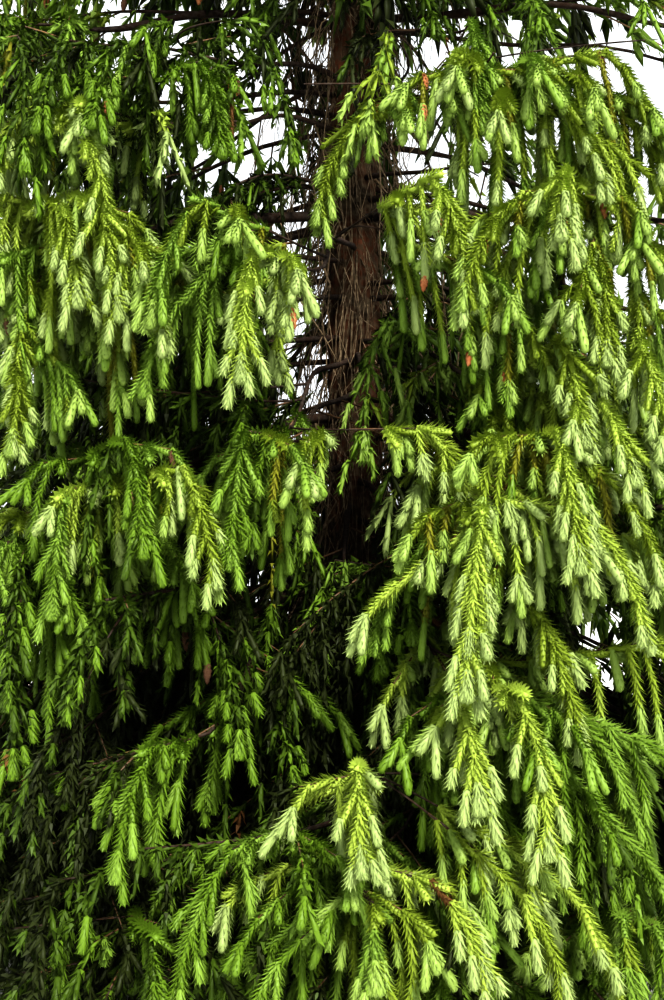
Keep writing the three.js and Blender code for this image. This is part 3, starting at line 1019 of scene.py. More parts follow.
def side_twig(place, bearing, slope, length, limit):
    """The route of a twig that leaves a limb sideways, sags, and ends inside the crown."""
    for _ in range(SHORTER_TRIES):
        route = []
        for i in range(ROUTE_POINTS):
            run = length * i / (ROUTE_POINTS - 1)
            fall = (TWIG_SAG - slope) * run + TWIG_CURVE * run * run
            x = place[0] + run * math.cos(bearing)
            y = place[1] + run * math.sin(bearing)
            route.append((x, y, place[2] - fall))
        if from_trunk(route[-1]) < limit and route[-1][2] > LOWEST_TWIG:
            break
        length *= SHORTENING
    return route


def clothe(route, first, limit, lengths, hang, light_at, joints):
    """Side twigs, strands and an end spray on a limb, from the share first of its length outward."""
    points = np.array(route)
    total = float(np.linalg.norm(np.diff(points, axis=0), axis=1).sum())
    at = np.linspace(0, 1, len(route))
    share = first
    side = dice.choice((-1, 1))
    while share < 1 - TIP_MARGIN / total:
        place = tuple(float(np.interp(share, at, points[:, k])) for k in range(3))
        here = int(share * (len(route) - 1))
        dx, dy, dz = points[min(here + 1, len(route) - 1)] - points[max(here - 1, 0)]
        turn = mix(TWIG_SPREAD, share) + dice.gauss(0, TWIG_TURN_SPREAD)
        bearing = math.atan2(dy, dx) + side * turn
        slope = LEVELLING * dz / max(math.hypot(dx, dy), 0.01)
        length = mix(lengths, share) * dice.uniform(*TWIG_LENGTHS)
        twig = side_twig(place, bearing, slope, length, limit)
        level = level_at(*twig[-1])
        light = light_at(share) + dice.gauss(0, UNEVEN_LIGHT)
        grow_twig(twig, level, light, hang * dice.uniform(*HANG_RANGE), STRAND_SPACING[level])
        share += SIDE_TWIG_STEP[level_at(*place)] * dice.uniform(*NEXT_TWIG) / total
        side = -side
    level = level_at(*route[-1])
    half = len(route) // 2
    inner = level_at(*route[half])
    grow_twig(route[half - 2:-4], inner, light_at(0.6), 0.8 * hang, 1.5 * STRAND_SPACING[inner], 0)
    grow_twig(route[-5:], level, light_at(1.0), hang, STRAND_SPACING[level], joints)


def rule_route(tier, direction, extent):
    """A limb from the trunk along the roof of its tier, with a little sway."""
    length = reach(tier) * extent
    cx, cy = trunk_centre(tier_height(tier))
    root = ROOTED * trunk_radius(tier_height(tier))
    curl = dice.gauss(0, LIMB_CURL)
    sway = dice.uniform(*LIMB_SWAY)
    phase = dice.uniform(0, ANY_TURN)
    route = []
    for i in range(LIMB_POINTS):
        distance = root + (length - root) * i / (LIMB_POINTS - 1)
        bearing = direction + curl * (distance / length - 1) + sway * math.sin(SWAY_WAVE * distance + phase)
        drop = DIP * (1 - math.cos(DIP_WAVE * distance + phase)) * min(distance, 1)
        x = cx + distance * math.cos(bearing)
        y = cy + distance * math.sin(bearing)
        route.append((x, y, bough_height(tier, distance) - drop))
    return route


def grow_bough(tier, direction, extent, thickness=1.0, first=0.2, shade=0.0):
    """A bough of the rule. shade takes light from a bough that hangs under others."""
    full = reach(tier)
    route = rule_route(tier, direction, extent)
    shares = [i / (LIMB_POINTS - 1) for i in range(LIMB_POINTS)]
    limbs.append((route, [bough_radius(tier, share) * thickness for share in shares]))
    drop = mix(STRAND_DROP, math.sqrt(tier_age(tier))) * (LOW_DROP if tier < LOW_TIER else 1)
    lengths = (full * TWIG_LENGTH[0], full * TWIG_LENGTH[1])
    top = mix(TIP_LIGHT, min(max(tier, 0) / MAIN_TIERS, 1))
    # painted shade: a bough's needles take darker colours towards the trunk and lighter ones at its tip
    clothe(route, first, full * TIP_SHARE, lengths, drop,
           lambda share: INNER_LIGHT + top * (extent * share) ** LIGHT_CURVE - shade, 2)


print("boughs can grow")

# %% [markdown]
# The sprays nearest the camera are the photograph's own. They are listed nearest first, each with
# where its top shows in the picture, how bright it is and how long its strands hang. Each one
# branches from a limb that passes near it, or else the rule finds the height on the trunk from which
# a bough comes to that place. A tree grown by chance alone would be as true to its kind, but it
# would not be this tree.

# %% Boughs that end where the photograph shows a spray
# light is painted light: it sets how light a colour class each listed spray's needles take
SPRAYS = {  # by distance in metres: across, down, light, hang in metres
    4.1: ((645, 980, 0.55, 0.10),),
    4.15: ((430, 880, 1.25, 0.28), (90, 975, 0.42, 0.12), (180, 985, 0.40, 0.10)),
    4.2: ((150, 930, 0.58, 0.18), (300, 940, 0.66, 0.15), (655, 925, 0.50, 0.20), (10, 975, 0.25, 0.12)),
    4.25: ((358, 765, 1.30, 0.30), (562, 882, 1.00, 0.26), (2, 930, 0.25, 0.35)),
    4.3: ((125, 850, 0.48, 0.30), (502, 872, 1.00, 0.28), (622, 915, 0.66, 0.22), (18, 900, 0.25, 0.30)),
    4.35: ((60, 880, 0.30, 0.30),),
    4.4: (
        (20, 562, 0.46, 0.30), (18, 650, 0.52, 0.30), (458, 700, 1.10, 0.25), (514, 690, 1.10, 0.25),
        (160, 745, 0.66, 0.40), (232, 850, 0.66, 0.28),
    ),
    4.5: (
        (8, 195, 1.10, 0.50), (62, 205, 1.00, 0.75), (128, 228, 0.86, 0.80), (18, 372, 0.90, 0.40),
        (62, 498, 0.68, 0.35), (482, 490, 1.20, 0.34), (474, 600, 1.10, 0.35), (30, 780, 0.40, 0.40),
        (620, 830, 0.54, 0.50), (70, 790, 0.30, 0.40),
    ),
    4.6: (
        (40, 104, 1.30, 0.30), (14, 140, 1.15, 0.30), (96, 196, 1.05, 0.50), (268, 244, 1.25, 0.42),
        (182, 466, 1.10, 0.33), (576, 508, 1.15, 0.35), (640, 544, 0.96, 0.30), (124, 600, 0.44, 0.30),
        (580, 720, 0.56, 0.70), (645, 740, 0.52, 0.70), (540, 780, 0.46, 0.70), (480, 780, 0.42, 0.70),
        (80, 700, 0.30, 0.40),
    ),
    4.7: (
        (78, 126, 1.20, 0.25), (8, 92, 1.20, 0.30), (566, 166, 1.05, 0.40), (126, 438, 0.52, 0.40),
        (556, 430, 1.04, 0.50), (530, 600, 0.92, 0.30), (600, 470, 0.86, 0.40), (655, 640, 0.90, 0.40),
    ),
    4.8: (
        (510, 206, 0.78, 0.55), (250, 425, 0.60, 0.60), (428, 428, 1.05, 0.25), (640, 340, 1.04, 0.50),
        (612, 398, 1.04, 0.60), (412, 560, 0.58, 0.40),
    ),
    4.9: (
        (205, 200, 0.68, 0.28), (430, 176, 1.00, 0.42), (195, 285, 0.60, 0.40), (655, 250, 0.94, 0.60),
        (560, 340, 0.96, 0.50),
    ),
    4.95: ((220, 640, 0.50, 0.40),),
    5.0: (
        (508, 52, 1.00, 0.25), (546, 84, 0.92, 0.35), (632, 160, 0.92, 0.70), (502, 290, 0.74, 0.55),
        (600, 260, 0.94, 0.60), (270, 700, 0.45, 0.40),
    ),
    5.1: (
        (304, 84, 0.70, 0.14), (604, 50, 0.86, 0.70), (645, 40, 0.90, 0.80), (655, 120, 0.90, 0.60),
        (616, 110, 0.80, 0.50),
    ),
    5.2: (
        (122, 40, 0.32, 0.45), (200, 62, 0.42, 0.40), (374, 108, 0.76, 0.40), (84, 380, 0.24, 0.60),
        (20, 40, 0.32, 0.70), (470, 20, 0.60, 0.40),
    ),
    5.25: ((66, 25, 0.26, 0.70),),
    5.3: (
        (246, 18, 0.26, 0.35), (388, 30, 0.74, 0.55), (424, 84, 0.60, 0.22), (335, 560, 0.60, 0.60),
        (376, 600, 0.44, 0.60), (56, 440, 0.20, 0.50),
    ),
    5.4: ((20, 470, 0.20, 0.50),),
    5.5: ((80, 400, 0.15, 0.60),),
    5.6: ((388, 318, 0.60, 0.25), (30, 400, 0.15, 0.60)),
}
SPRAY_JOINTS = (3, 4, 4, 5)
BRANCH_GAP = (0.25, 1.0)  # how far a spray may lie from the limb that it branches from
BRANCH_SLOPE = (-0.1, 0.7)  # and how steeply below it
BRANCH_FORWARD = 0.6
BRANCH_AHEAD = 0.45
BRANCH_RISE = (0, 0, 0.10)
BRANCH_THINNING = 0.7
BRANCH_TWIGS = (0.34, 0.26)
FIRST_TWIG = (0.15, 0.45)  # on a side branch and on a limb from the trunk
TIP_DIMMING = 0.06
INWARD_DIMMING = 0.5
HALVINGS = 30
RETREAT = 0.03
BROWN_TIP = (277, 42)
BROWN_SHOOTS = 3
BROWN_LENGTH = 0.09
BROWN_RADIUS = 0.02
BROWN_SPACING = 0.085
PLUMB = (0.0, 0.0, -1.0)


def tier_through(distance, height):
    """The tier whose roof passes a height at a distance from the trunk."""
    low, high = -1.0, TIERS - 1.0
    for _ in range(HALVINGS):
        middle = (low + high) / 2
        if bough_height(middle, distance) < height:
            low = middle
        else:
            high = middle
    return low


def fitted_tip(across, down, distance):
    """The point at a pixel, moved away from the camera until it lies inside the crown."""
    while True:
        tip = from_pixel(across, down, distance)
        tier = tier_through(from_trunk(tip), tip[2])
        if from_trunk(tip) <= TIP_SHARE * reach(tier):
            return tip, tier
        distance += RETREAT


def parent_of(tip):
    """The limb and its point that a spray best branches from, if one passes near enough."""
    nearest, found = BRANCH_GAP[1], None
    out = from_trunk(tip)
    for route, radii in limbs:
        for k in range(3, LIMB_POINTS - 2):
            gap = math.dist(route[k], tip)
            if not BRANCH_GAP[0] < gap < nearest:
                continue
            behind = from_trunk(route[k]) < out - BRANCH_FORWARD * gap
            if behind and BRANCH_SLOPE[0] < (route[k][2] - tip[2]) / gap < BRANCH_SLOPE[1]:
                nearest, found = gap, (route, radii, k)
    return found


def branch_route(parent, k, tip):
    """A limb that leaves its parent forward and bends over to its tip."""
    root, before = np.array(parent[k]), np.array(parent[k - 1])
    tip = np.array(tip)
    ahead = (root - before) / np.linalg.norm(root - before)
    bend = root + (BRANCH_AHEAD * ahead + BRANCH_RISE) * np.linalg.norm(tip - root)
    route = []
    for i in range(LIMB_POINTS):
        share = i / (LIMB_POINTS - 1)
        route.append(tuple((1 - share) ** 2 * root + 2 * share * (1 - share) * bend + share * share * tip))
    return route


def grow_seen_spray(across, down, distance, light, hang):
    """A limb to a spray of the photograph. Says whether it branches from another limb."""
    tip, tier = fitted_tip(across, down, distance)
    parent = parent_of(tip)
    if parent:
        parent_route, parent_radii, k = parent
        route = branch_route(parent_route, k, tip)
        thick = BRANCH_THINNING * parent_radii[k]
        radii = [thick + (BOUGH_TIP_RADIUS - thick) * i / (LIMB_POINTS - 1) for i in range(LIMB_POINTS)]
        first, dimming = FIRST_TWIG[0], 0
    else:
        cx, cy = trunk_centre(tip[2])
        extent = from_trunk(tip) / reach(tier)
        route = rule_route(tier, math.atan2(tip[1] - cy, tip[0] - cx), extent)
        radii = [bough_radius(tier, i / (LIMB_POINTS - 1)) * THIN_LIMB for i in range(LIMB_POINTS)]
        first, dimming = FIRST_TWIG[1], INWARD_DIMMING
    limbs.append((route, radii))
    # painted light and shade: the spray's light, dimmed towards the trunk, picks its needles' colours
    clothe(route, first, reach(tier) * TIP_SHARE, BRANCH_TWIGS, hang,
           lambda share: light - TIP_DIMMING - dimming * (1 - share), dice.choice(SPRAY_JOINTS))
    return bool(parent)


def grow_brown_tip():
    """One long hanging tip near the top of the picture has died back and turned brown."""
    place = foremost(*BROWN_TIP)
    for _ in range(BROWN_SHOOTS):
        shoots.append(("fine feather", "rust", place, PLUMB, BROWN_LENGTH, BROWN_RADIUS))
        place = step_from(place, PLUMB, BROWN_SPACING)


for tier in range(MAIN_TIERS):
    for direction in bough_directions(tier):
        grow_bough(tier, direction, TIP_SHARE)

joined = []
for distance, sprays in SPRAYS.items():
    for across, down, light, hang in sprays:
        joined.append(grow_seen_spray(across, down, distance, light, hang))
grow_brown_tip()
print(len(joined), "sprays of the photograph,", sum(joined), "of them on side branches")

# %% [markdown]
# All round and above, the tree is filled by the rule alone: the boughs of the solids at whole tiers,
# and whorls of thinner boughs between them at uneven heights. A skirt of low boughs closes the foot,
# and short shoots in rings round the leader make the tip.

# %% Whorls of boughs
FRONT_SECTOR = math.radians(46)
FRONT_TIERS = (-0.3, 3.7)
INNER_EXTENT = (0.45, 0.66)
INNER_SHADE = 0.15
WHORLS_PER_TIER = 4
WHORL_BOUGHS = 5
WHORL_TURN = 2.4
WHORL_SCATTER = 0.12
SKIRT_WHORLS = (0.25, 0.0, -0.2, -0.4)
SKIRT_BOUGHS = 8
SKIRT_SHADE = 0.3
FULL_EXTENT = (0.8, TIP_SHARE)
SKIRT_EXTENT = (0.72, 0.9)
WHORL_SPREAD = 0.25
SKIRT_SPREAD = 0.15
SKIRT_TURN = 7
INNER_FIRST = 0.3
SKIRT_FIRST = 0.35
LEADER_FROM = 0.62  # metres below the tree's tip
LEADER_TO = 0.12
LEADER_STEP = 0.075
LEADER_OVERLAP = 1.2
LEADER_SHOOTS = 5
LEADER_TURN = 9
LEADER_RISE = 0.5
LEADER_LIGHT = (0.7, 0.8)  # of the leader itself and of its side shoots
LEADER_LENGTH = (0.07, 0.34)  # of a side shoot at the tip, and how much it grows for each metre below
LEADER_RADII = (0.026, 0.028, 0.024)
LEADER_FORK = 0.6
LEADER_FORK_RISE = 0.2
LEADER_FORK_FROM = 0.12


def from_front(direction):
    return abs((direction - FRONT + math.pi) % (2 * math.pi) - math.pi)


for tier in range(MAIN_TIERS, TIERS):
    for direction in bough_directions(tier):
        grow_bough(tier, direction, TIP_SHARE)

for whorl in range((TIERS - 1) * WHORLS_PER_TIER + 1):
    turn = whorl * WHORL_TURN
    for i in range(WHORL_BOUGHS):
        direction = turn + i * 2 * math.pi / WHORL_BOUGHS + dice.uniform(-WHORL_SPREAD, WHORL_SPREAD)
        tier = max(whorl / WHORLS_PER_TIER + dice.uniform(-WHORL_SCATTER, WHORL_SCATTER), 0.0)
        if FRONT_TIERS[0] < tier < FRONT_TIERS[1] and from_front(direction) < FRONT_SECTOR:
            grow_bough(tier, direction, dice.uniform(*INNER_EXTENT), THIN_LIMB, INNER_FIRST, INNER_SHADE)
        elif tier < TIERS - 1:
            grow_bough(tier, direction, dice.uniform(*FULL_EXTENT), THIN_LIMB)

for tier in SKIRT_WHORLS:
    for i in range(SKIRT_BOUGHS):
        turn = SKIRT_TURN * tier + i * 2 * math.pi / SKIRT_BOUGHS
        direction = turn + dice.uniform(-SKIRT_SPREAD, SKIRT_SPREAD)
        grow_bough(tier, direction, dice.uniform(*SKIRT_EXTENT), THIN_LIMB, SKIRT_FIRST, SKIRT_SHADE)


def grow_leader_shoots(place, height):
    """The leader's own shoot at a height, and a ring of shoots round it, the lower ones forked."""
    add_shoot("mid", LEADER_LIGHT[0], 1, place, (0.0, 0.0, 1.0), LEADER_OVERLAP * LEADER_STEP,
              LEADER_RADII[0])
    for i in range(LEADER_SHOOTS):
        turn = LEADER_TURN * height + i * 2 * math.pi / LEADER_SHOOTS
        outward = unit(math.cos(turn), math.sin(turn), LEADER_RISE)
        length = LEADER_LENGTH[0] + LEADER_LENGTH[1] * (TREE_HEIGHT - height)
        add_shoot("mid", LEADER_LIGHT[1], i % 2, place, outward, length, LEADER_RADII[1])
        if length > LEADER_FORK_FROM:
            for side in (-LEADER_FORK, LEADER_FORK):
                middle = step_from(place, outward, 0.5 * length)
                aside = unit(math.cos(turn + side), math.sin(turn + side), LEADER_FORK_RISE)
                add_shoot("mid", LEADER_LIGHT[1], 0, middle, aside, 0.5 * length, LEADER_RADII[2])


height = TREE_HEIGHT - LEADER_FROM
while height < TREE_HEIGHT - LEADER_TO:
    grow_leader_shoots((*trunk_centre(height), height), height)
    height += LEADER_STEP
print(len(limbs), "limbs,", len(twigs), "twigs,", len(strand_tips), "strands,", len(shoots), "shoots")
for name, (corners, faces) in TEMPLATES.items():
    own = sum(1 for shoot in shoots if shoot[0] == name)
    print(" ", name, own, "shoots,", own * len(faces), "triangles")

# %% [markdown]
# Each colour of needles is one plain base colour, and from the lit ones to shade they are painted light
# and shade, beyond the darker green that shade needles really have. A strand has nearly the same one
# all along, because its shoots share one value of painted light, and only its tip is fresh. A pattern
# painted over the foliage would change colour in the middle of a needle instead. A soft noise makes
# the wax on the needles uneven, and living needles are glossier than shaded or dead ones.

# %% Needle colours
# painted light and shade: mint, pale and lime are lit steps, jade, olive and leaf middling ones, and deep
# and the near-black shade are shaded steps of the same needles; gold and rust are their own colours
NEEDLES = {  # base colour and roughness
    "mint": ((0.242, 0.308, 0.106), 0.5),
    "pale": ((0.208, 0.290, 0.066), 0.5),
    "lime": ((0.270, 0.350, 0.058), 0.5),
    "jade": ((0.152, 0.236, 0.036), 0.5),
    "olive": ((0.180, 0.240, 0.028), 0.5),
    "gold": ((0.160, 0.165, 0.018), 0.5),
    "leaf": ((0.104, 0.172, 0.017), 0.5),
    "deep": ((0.046, 0.078, 0.007), 0.55),
    "shade": ((0.020, 0.027, 0.005), 0.6),
    "rust": ((0.120, 0.060, 0.020), 0.7),
}
NEEDLE_SHEEN = 0.22
WAX_SCALE = 60
WAX_SPREAD = 0.12


def needle_material(name, colour, roughness):
    """Waxy needles of one colour."""
    material = plain_material(name + " needles", colour, roughness)
    nodes, links = material.node_tree.nodes, material.node_tree.links
    shader = nodes["Principled BSDF"]
    shader.inputs["Specular IOR Level"].default_value = NEEDLE_SHEEN
    place = nodes.new("ShaderNodeTexCoord")
    wax = nodes.new("ShaderNodeTexNoise")
    wax.inputs["Scale"].default_value = WAX_SCALE
    levels = nodes.new("ShaderNodeMapRange")
    levels.inputs["To Min"].default_value = roughness - WAX_SPREAD
    levels.inputs["To Max"].default_value = roughness + WAX_SPREAD
    links.new(place.outputs["Object"], wax.inputs["Vector"])
    links.new(wax.outputs["Fac"], levels.inputs["Value"])
    links.new(levels.outputs["Result"], shader.inputs["Roughness"])
    return material


print(len(NEEDLES), "colours of needles")

# %% [markdown]
# Now the shoots become meshes. All that share a template and a colour are placed at once from arrays
# and joined, because tens of thousands of single objects would be slow to draw and to export. Each
# shoot is rolled by chance about its own axis, so that no two show the same side. A colour with too
# many triangles for one piece is dealt out to more.

# %% Needles
MOST_TRIANGLES = 190_000
SAG = 0.16  # how far a shoot's tip sags, as a share of its length
LOWEST_NEEDLE = 0.4 * GROUND_CLEARANCE
TREE_MASSES = [node for node in NODES if node.startswith("foliage")]


def shoot_arrays(template, places, directions, lengths, radii):
    """All shoots of one level and colour as one array of points and one of triangles."""
    corners, faces = template
    many = len(places)
    roll = noise.uniform(0, 2 * math.pi, many)
    flat = np.stack([-directions[:, 1], directions[:, 0], np.zeros(many)], 1)
    flat[np.linalg.norm(flat, axis=1) < UPRIGHT] = (1, 0, 0)
    flat /= np.linalg.norm(flat, axis=1, keepdims=True)
    over = np.cross(directions, flat)
    side = np.cos(roll)[:, None] * flat + np.sin(roll)[:, None] * over
    up = np.cross(directions, side)
    x, y, along, ahead = corners.T
    forward = lengths[:, None] * along + radii[:, None] * ahead
    points = places[:, None, :] + forward[:, :, None] * directions[:, None, :]
    points += (radii[:, None] * x)[:, :, None] * side[:, None, :]
    points += (radii[:, None] * y)[:, :, None] * up[:, None, :]
    points[:, :, 2] -= SAG * lengths[:, None] * np.clip(along, 0, 1) ** 2
    triangles = faces[None] + len(corners) * np.arange(many)[:, None, None]
    return points.reshape(-1, 3), triangles.reshape(-1, 3)


for colour, (base, roughness) in NEEDLES.items():
    heap = Heap()
    for level, template in TEMPLATES.items():
        own = [shoot for shoot in shoots if shoot[:2] == (level, colour)]
        if own:
            columns = [np.array([shoot[k] for shoot in own], float) for k in (2, 3, 4, 5)]
            heap.add(*shoot_arrays(template, *columns))
    points, triangles = heap.arrays()
    points[:, 2] = np.maximum(points[:, 2], LOWEST_NEEDLE)
    material = needle_material(colour, base, roughness)
    parts = math.ceil(len(triangles) / MOST_TRIANGLES)
    for part, chunk in enumerate(np.array_split(triangles, parts)):
        used, renumbered = np.unique(chunk, return_inverse=True)
        own_triangles = renumbered.reshape(-1, 3)
        piece = mesh_piece(f"{colour}_needles_{part + 1}", points[used], own_triangles, material)
        wear(piece, "needles", *TREE_MASSES)
    print(colour, len(triangles), "triangles in", parts, "pieces")

# %% [markdown]
# Under the needles, the tree's wood: limbs that taper from the trunk out to the tips, and the side
# twigs. Young wood is tan and old wood grey-brown. The axis of a hanging strand is left out, because
# the body of each shoot hides it.

# %% Limbs and twigs
LIMB_SIDES = 6
LIMB_UNEVENNESS = 0.10
LIMB_BROWNS = ((0.014, 0.009, 0.006), (0.045, 0.025, 0.016), (0.060, 0.047, 0.038))
LIMB_SCALE = 0.02
limb_routes = np.array([route for route, _ in limbs])
limb_radii = np.array([radii for _, radii in limbs])
limb_radii = limb_radii * (1 + LIMB_UNEVENNESS * noise.standard_normal(limb_radii.shape))
points, triangles = tubes(limb_routes, limb_radii, LIMB_SIDES)
limb_bark = bark_material("bough bark", LIMB_BROWNS, LIMB_SCALE)
limb_piece = mesh_piece("bough_limbs", points, triangles, limb_bark)
wear(limb_piece, "bough_bark", *[node for node in NODES if node.startswith("bough")])

TWIG_POINTS = 4
TWIG_SIDES = 3
TWIG_RADIUS = (0.0055, 0.002)
TWIG_BROWNS = ((0.09, 0.045, 0.02), (0.20, 0.11, 0.05), (0.16, 0.12, 0.09))
TWIG_SCALE = 0.012


def resampled(route, count):
    """The same route with another number of points."""
    route = np.array(route)
    at = np.linspace(0, 1, len(route))
    wanted = np.linspace(0, 1, count)
    return np.stack([np.interp(wanted, at, route[:, k]) for k in range(3)], 1)


twig_routes = np.array([resampled(route, TWIG_POINTS) for route in twigs])
twig_radii = np.repeat(np.linspace(*TWIG_RADIUS, TWIG_POINTS)[None], len(twigs), 0)
points, triangles = tubes(twig_routes, twig_radii, TWIG_SIDES)
twig_piece = mesh_piece("twigs", points, triangles, bark_material("twig bark", TWIG_BROWNS, TWIG_SCALE))
wear(twig_piece, "bough_bark", *TREE_MASSES)
print("limbs", len(limb_piece.data.polygons), "twigs", len(twig_piece.data.polygons), "triangles")

# %% [markdown]
# Inside the crown, where no light comes, the finer branches are long dead. They hang round the trunk
# as a grey-brown veil of thin, branching twigs, and the photograph shows them all down the gap. Each
# starts on a limb or on the trunk and falls in a few bends, and smaller ones leave it.

# %% Dead twigs
DEAD_TWIGS = 720
DEAD_ON_TRUNK = 0.5
DEAD_LENGTH = (0.25, 0.85)
DEAD_HEIGHTS = (0.7, 5.6)
DEAD_ABOVE = 1.1  # how far above that, as a share, a limb may start that carries one
DEAD_ROOT = 0.95  # share of the trunk's radius at which one starts
DEAD_ON_LIMB = 5  # points of a limb, from its foot, at which one may start
DEAD_REACH = 0.75  # metres from the trunk
DEAD_POINTS = (5, 3)  # along a dead twig and along a side twig of it
DEAD_SIDES = 3
DEAD_RADIUS = (0.0050, 0.0014)
DEAD_SIDE_RADIUS = (0.0025, 0.0011)
DEAD_THICKNESS = (0.6, 1.4)
DEAD_WANDER = (0.35, 0.4)
DEAD_FALL = 0.55  # share of the way to plumb that a dead twig turns at each bend
DEAD_TILT = (0.0, 0.9)
DEAD_SIDE_SHARE = 0.85
DEAD_SIDE_TILT = (0.3, 1.0)
DEAD_SIDE_LENGTH = (0.25, 0.5)
DEAD_SHORTEST = 0.12
DEAD_CLEARANCE = 0.15
DEAD_LOWEST = 0.02
DEAD_BROWNS = ((0.060, 0.042, 0.026), (0.17, 0.120, 0.070), (0.26, 0.20, 0.13))


def fall_route(start, bearing, tilt, length, points, wander):
    """A thin route that leaves its start and soon falls."""
    route, place = [start], start
    for _ in range(points - 1):
        bearing += dice.gauss(0, wander)
        tilt += (HANG - tilt) * DEAD_FALL + dice.gauss(0, 0.5 * wander)
        place = step_from(place, slanted(bearing, tilt), length / (points - 1))
        route.append(place)
    return route


def dead_foot(bearing):
    """Where a dead twig starts: on the trunk, or near the foot of a limb."""
    if dice.random() >= DEAD_ON_TRUNK:
        return dice.choice(inner_limbs)[dice.randrange(0, DEAD_ON_LIMB)]
    height = dice.uniform(*DEAD_HEIGHTS)
    cx, cy = trunk_centre(height)
    out = DEAD_ROOT * trunk_radius(height)
    return cx + out * math.cos(bearing), cy + out * math.sin(bearing), height


thick_dead, thin_dead = [], []
inner_limbs = [route for route, _ in limbs if route[0][2] < DEAD_ABOVE * DEAD_HEIGHTS[1]]
while len(thick_dead) < DEAD_TWIGS:
    bearing = dice.uniform(0, 2 * math.pi)
    place = dead_foot(bearing)
    length = min(dice.uniform(*DEAD_LENGTH), place[2] - DEAD_CLEARANCE)
    if from_trunk(place) > DEAD_REACH or length < DEAD_SHORTEST:
        continue
    tilt = dice.uniform(*DEAD_TILT)
    main = fall_route(place, bearing, tilt, length, DEAD_POINTS[0], DEAD_WANDER[0])
    thick_dead.append(main)
    for point in main[1:]:
        if dice.random() < DEAD_SIDE_SHARE:
            side_length = length * dice.uniform(*DEAD_SIDE_LENGTH)
            tilt = dice.uniform(*DEAD_SIDE_TILT)
            bearing = dice.uniform(0, ANY_TURN)
            thin_dead.append(fall_route(point, bearing, tilt, side_length, DEAD_POINTS[1], DEAD_WANDER[1]))

thickness = noise.uniform(*DEAD_THICKNESS, (len(thick_dead), 1))
thick_radii = np.linspace(*DEAD_RADIUS, DEAD_POINTS[0]) * thickness
thin_radii = np.repeat(np.linspace(*DEAD_SIDE_RADIUS, DEAD_POINTS[1])[None], len(thin_dead), 0)
heap = Heap()
heap.add(*tubes(thick_dead, thick_radii, DEAD_SIDES))
heap.add(*tubes(thin_dead, thin_radii, DEAD_SIDES))
points, triangles = heap.arrays()
points[:, 2] = np.maximum(points[:, 2], DEAD_LOWEST)
dead_bark = bark_material("dead twig bark", DEAD_BROWNS, LIMB_SCALE)
dead = mesh_piece("dead_twigs", points, triangles, dead_bark)
wear(dead, "bough_bark", *TREE_MASSES)
print(len(thick_dead), "dead twigs with", len(thin_dead), "side twigs,", len(triangles), "triangles")

# %% [markdown]
# Young cones hang from the ends of sprays, red-brown when fresh and grey-brown when old. A cone is a
# spindle of overlapping scales. Here it is a closed body of rings, where every other ring stands out,
# and each ring is turned by half a scale from the one above, so that its outline is stepped. The
# photograph's own cones hang from the foremost shoot near each one's place, and the others from the
# ends of strands all over the tree.

# %% Cones
CONE_LENGTH = 0.078
CONE_RADIUS = 0.0155
CONE_RINGS = 9
CONE_SIDES = 7
CONE_RIDGES = (0.86, 1.12)  # radii of the hollow and of the raised rings
CONE_PLUMPNESS = 0.7
CONE_FIRST_RING = 0.6  # how far down the first ring lies, in rings
CONE_SWELL = (0.12, 0.9)  # where on a half wave the cone's outline begins, and how much of it it takes
CONE_SCALE = 0.006
CONE_TILT = 0.35
CONE_SIZES = (0.85, 1.15)
ACROSS_CONE = (0.3, 0.9, 0.1)  # any direction that no cone hangs along
LOWEST_CONE = 1.2
RED_SHARE = 0.6
RED_BROWNS = ((0.27, 0.100, 0.040), (0.42, 0.19, 0.09), (0.27, 0.100, 0.040))
OLD_BROWNS = ((0.10, 0.050, 0.030), (0.17, 0.10, 0.06), (0.10, 0.050, 0.030))
SEEN_CONES = (  # across and down in the picture
    (250, 55), (240, 85), (120, 105), (418, 45), (426, 95), (436, 228), (354, 160), (262, 285),
    (275, 310), (282, 318), (517, 370), (462, 370), (490, 255), (598, 205), (548, 220), (330, 140),
)
SEEN_OLD_CONES = ((122, 488), (179, 435), (452, 645), (27, 815), (588, 60), (268, 70))
OTHER_CONES = 110


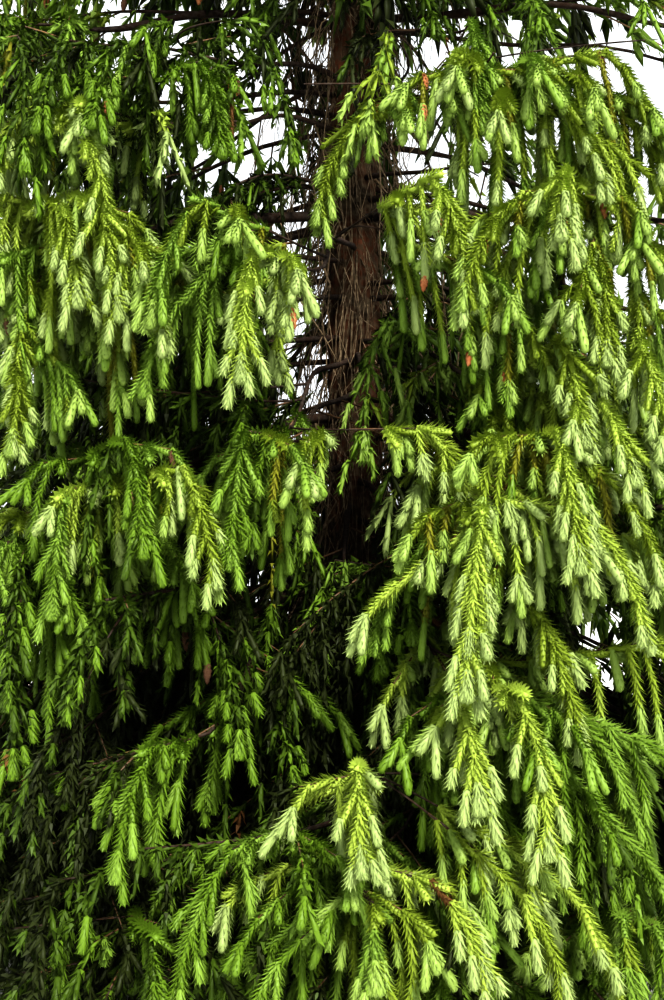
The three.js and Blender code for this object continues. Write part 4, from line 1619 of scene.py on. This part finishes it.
def cone_template():
    """Corners and triangles of one cone that hangs along Z."""
    corners, faces = [(0.0, 0.0, 0.0)], []
    for ring in range(CONE_RINGS):
        share = (ring + CONE_FIRST_RING) / CONE_RINGS
        swell = math.sin(math.pi * min(1.0, CONE_SWELL[0] + CONE_SWELL[1] * share)) ** CONE_PLUMPNESS
        radius = CONE_RADIUS * swell * CONE_RIDGES[ring % 2]
        for k in range(CONE_SIDES):
            turn = 2 * math.pi * (k + 0.5 * (ring % 2)) / CONE_SIDES
            corners.append((radius * math.cos(turn), radius * math.sin(turn), CONE_LENGTH * share))
    corners.append((0.0, 0.0, CONE_LENGTH))
    tip = len(corners) - 1
    last = tip - CONE_SIDES
    for k in range(CONE_SIDES):
        beyond = (k + 1) % CONE_SIDES
        faces.append((0, 1 + beyond, 1 + k))
        faces.append((tip, last + k, last + beyond))
        for ring in range(CONE_RINGS - 1):
            here, below = 1 + ring * CONE_SIDES, 1 + (ring + 1) * CONE_SIDES
            faces.append((here + k, here + beyond, below + k))
            faces.append((here + beyond, below + beyond, below + k))
    return np.array(corners), np.array(faces)


def cone_piece(name, places, browns):
    """Cones hung from their places, each with its own tilt, turn and size."""
    corners, faces = cone_template()
    heap = Heap()
    for place in places:
        tilt = dice.uniform(0, CONE_TILT)
        turn = dice.uniform(0, ANY_TURN)
        size = dice.uniform(*CONE_SIZES)
        down = np.array((math.sin(tilt) * math.cos(turn), math.sin(tilt) * math.sin(turn), -math.cos(tilt)))
        side = np.cross(down, ACROSS_CONE)
        side /= np.linalg.norm(side)
        axes = np.stack([side, np.cross(down, side), down])
        heap.add(corners * size @ axes + place, faces)
    piece = mesh_piece(name, *heap.arrays(), bark_material(name, browns, CONE_SCALE))
    return wear(piece, "bough_bark", *TREE_MASSES)


red_places = [foremost(*pixel) for pixel in SEEN_CONES]
old_places = [foremost(*pixel) for pixel in SEEN_OLD_CONES]
outer_tips = [tip for tip in strand_tips if tip[2] > LOWEST_CONE]
for place in dice.sample(outer_tips, OTHER_CONES):
    (red_places if dice.random() < RED_SHARE else old_places).append(place)
cone_piece("red_cones", red_places, RED_BROWNS)
cone_piece("old_cones", old_places, OLD_BROWNS)
print(len(red_places), "red cones,", len(old_places), "old cones")

# %% [markdown]
# The last step measures the dressed tree against the solid model and closes the frame.

# %% Sizes and finish
deselect()
low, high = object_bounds()
{"cad": [list(CAD_LOW), list(CAD_HIGH)], "visual": [list(low), list(high)]}
print("dressed tree from", tuple(round(v, 2) for v in low), "to", tuple(round(v, 2) for v in high))
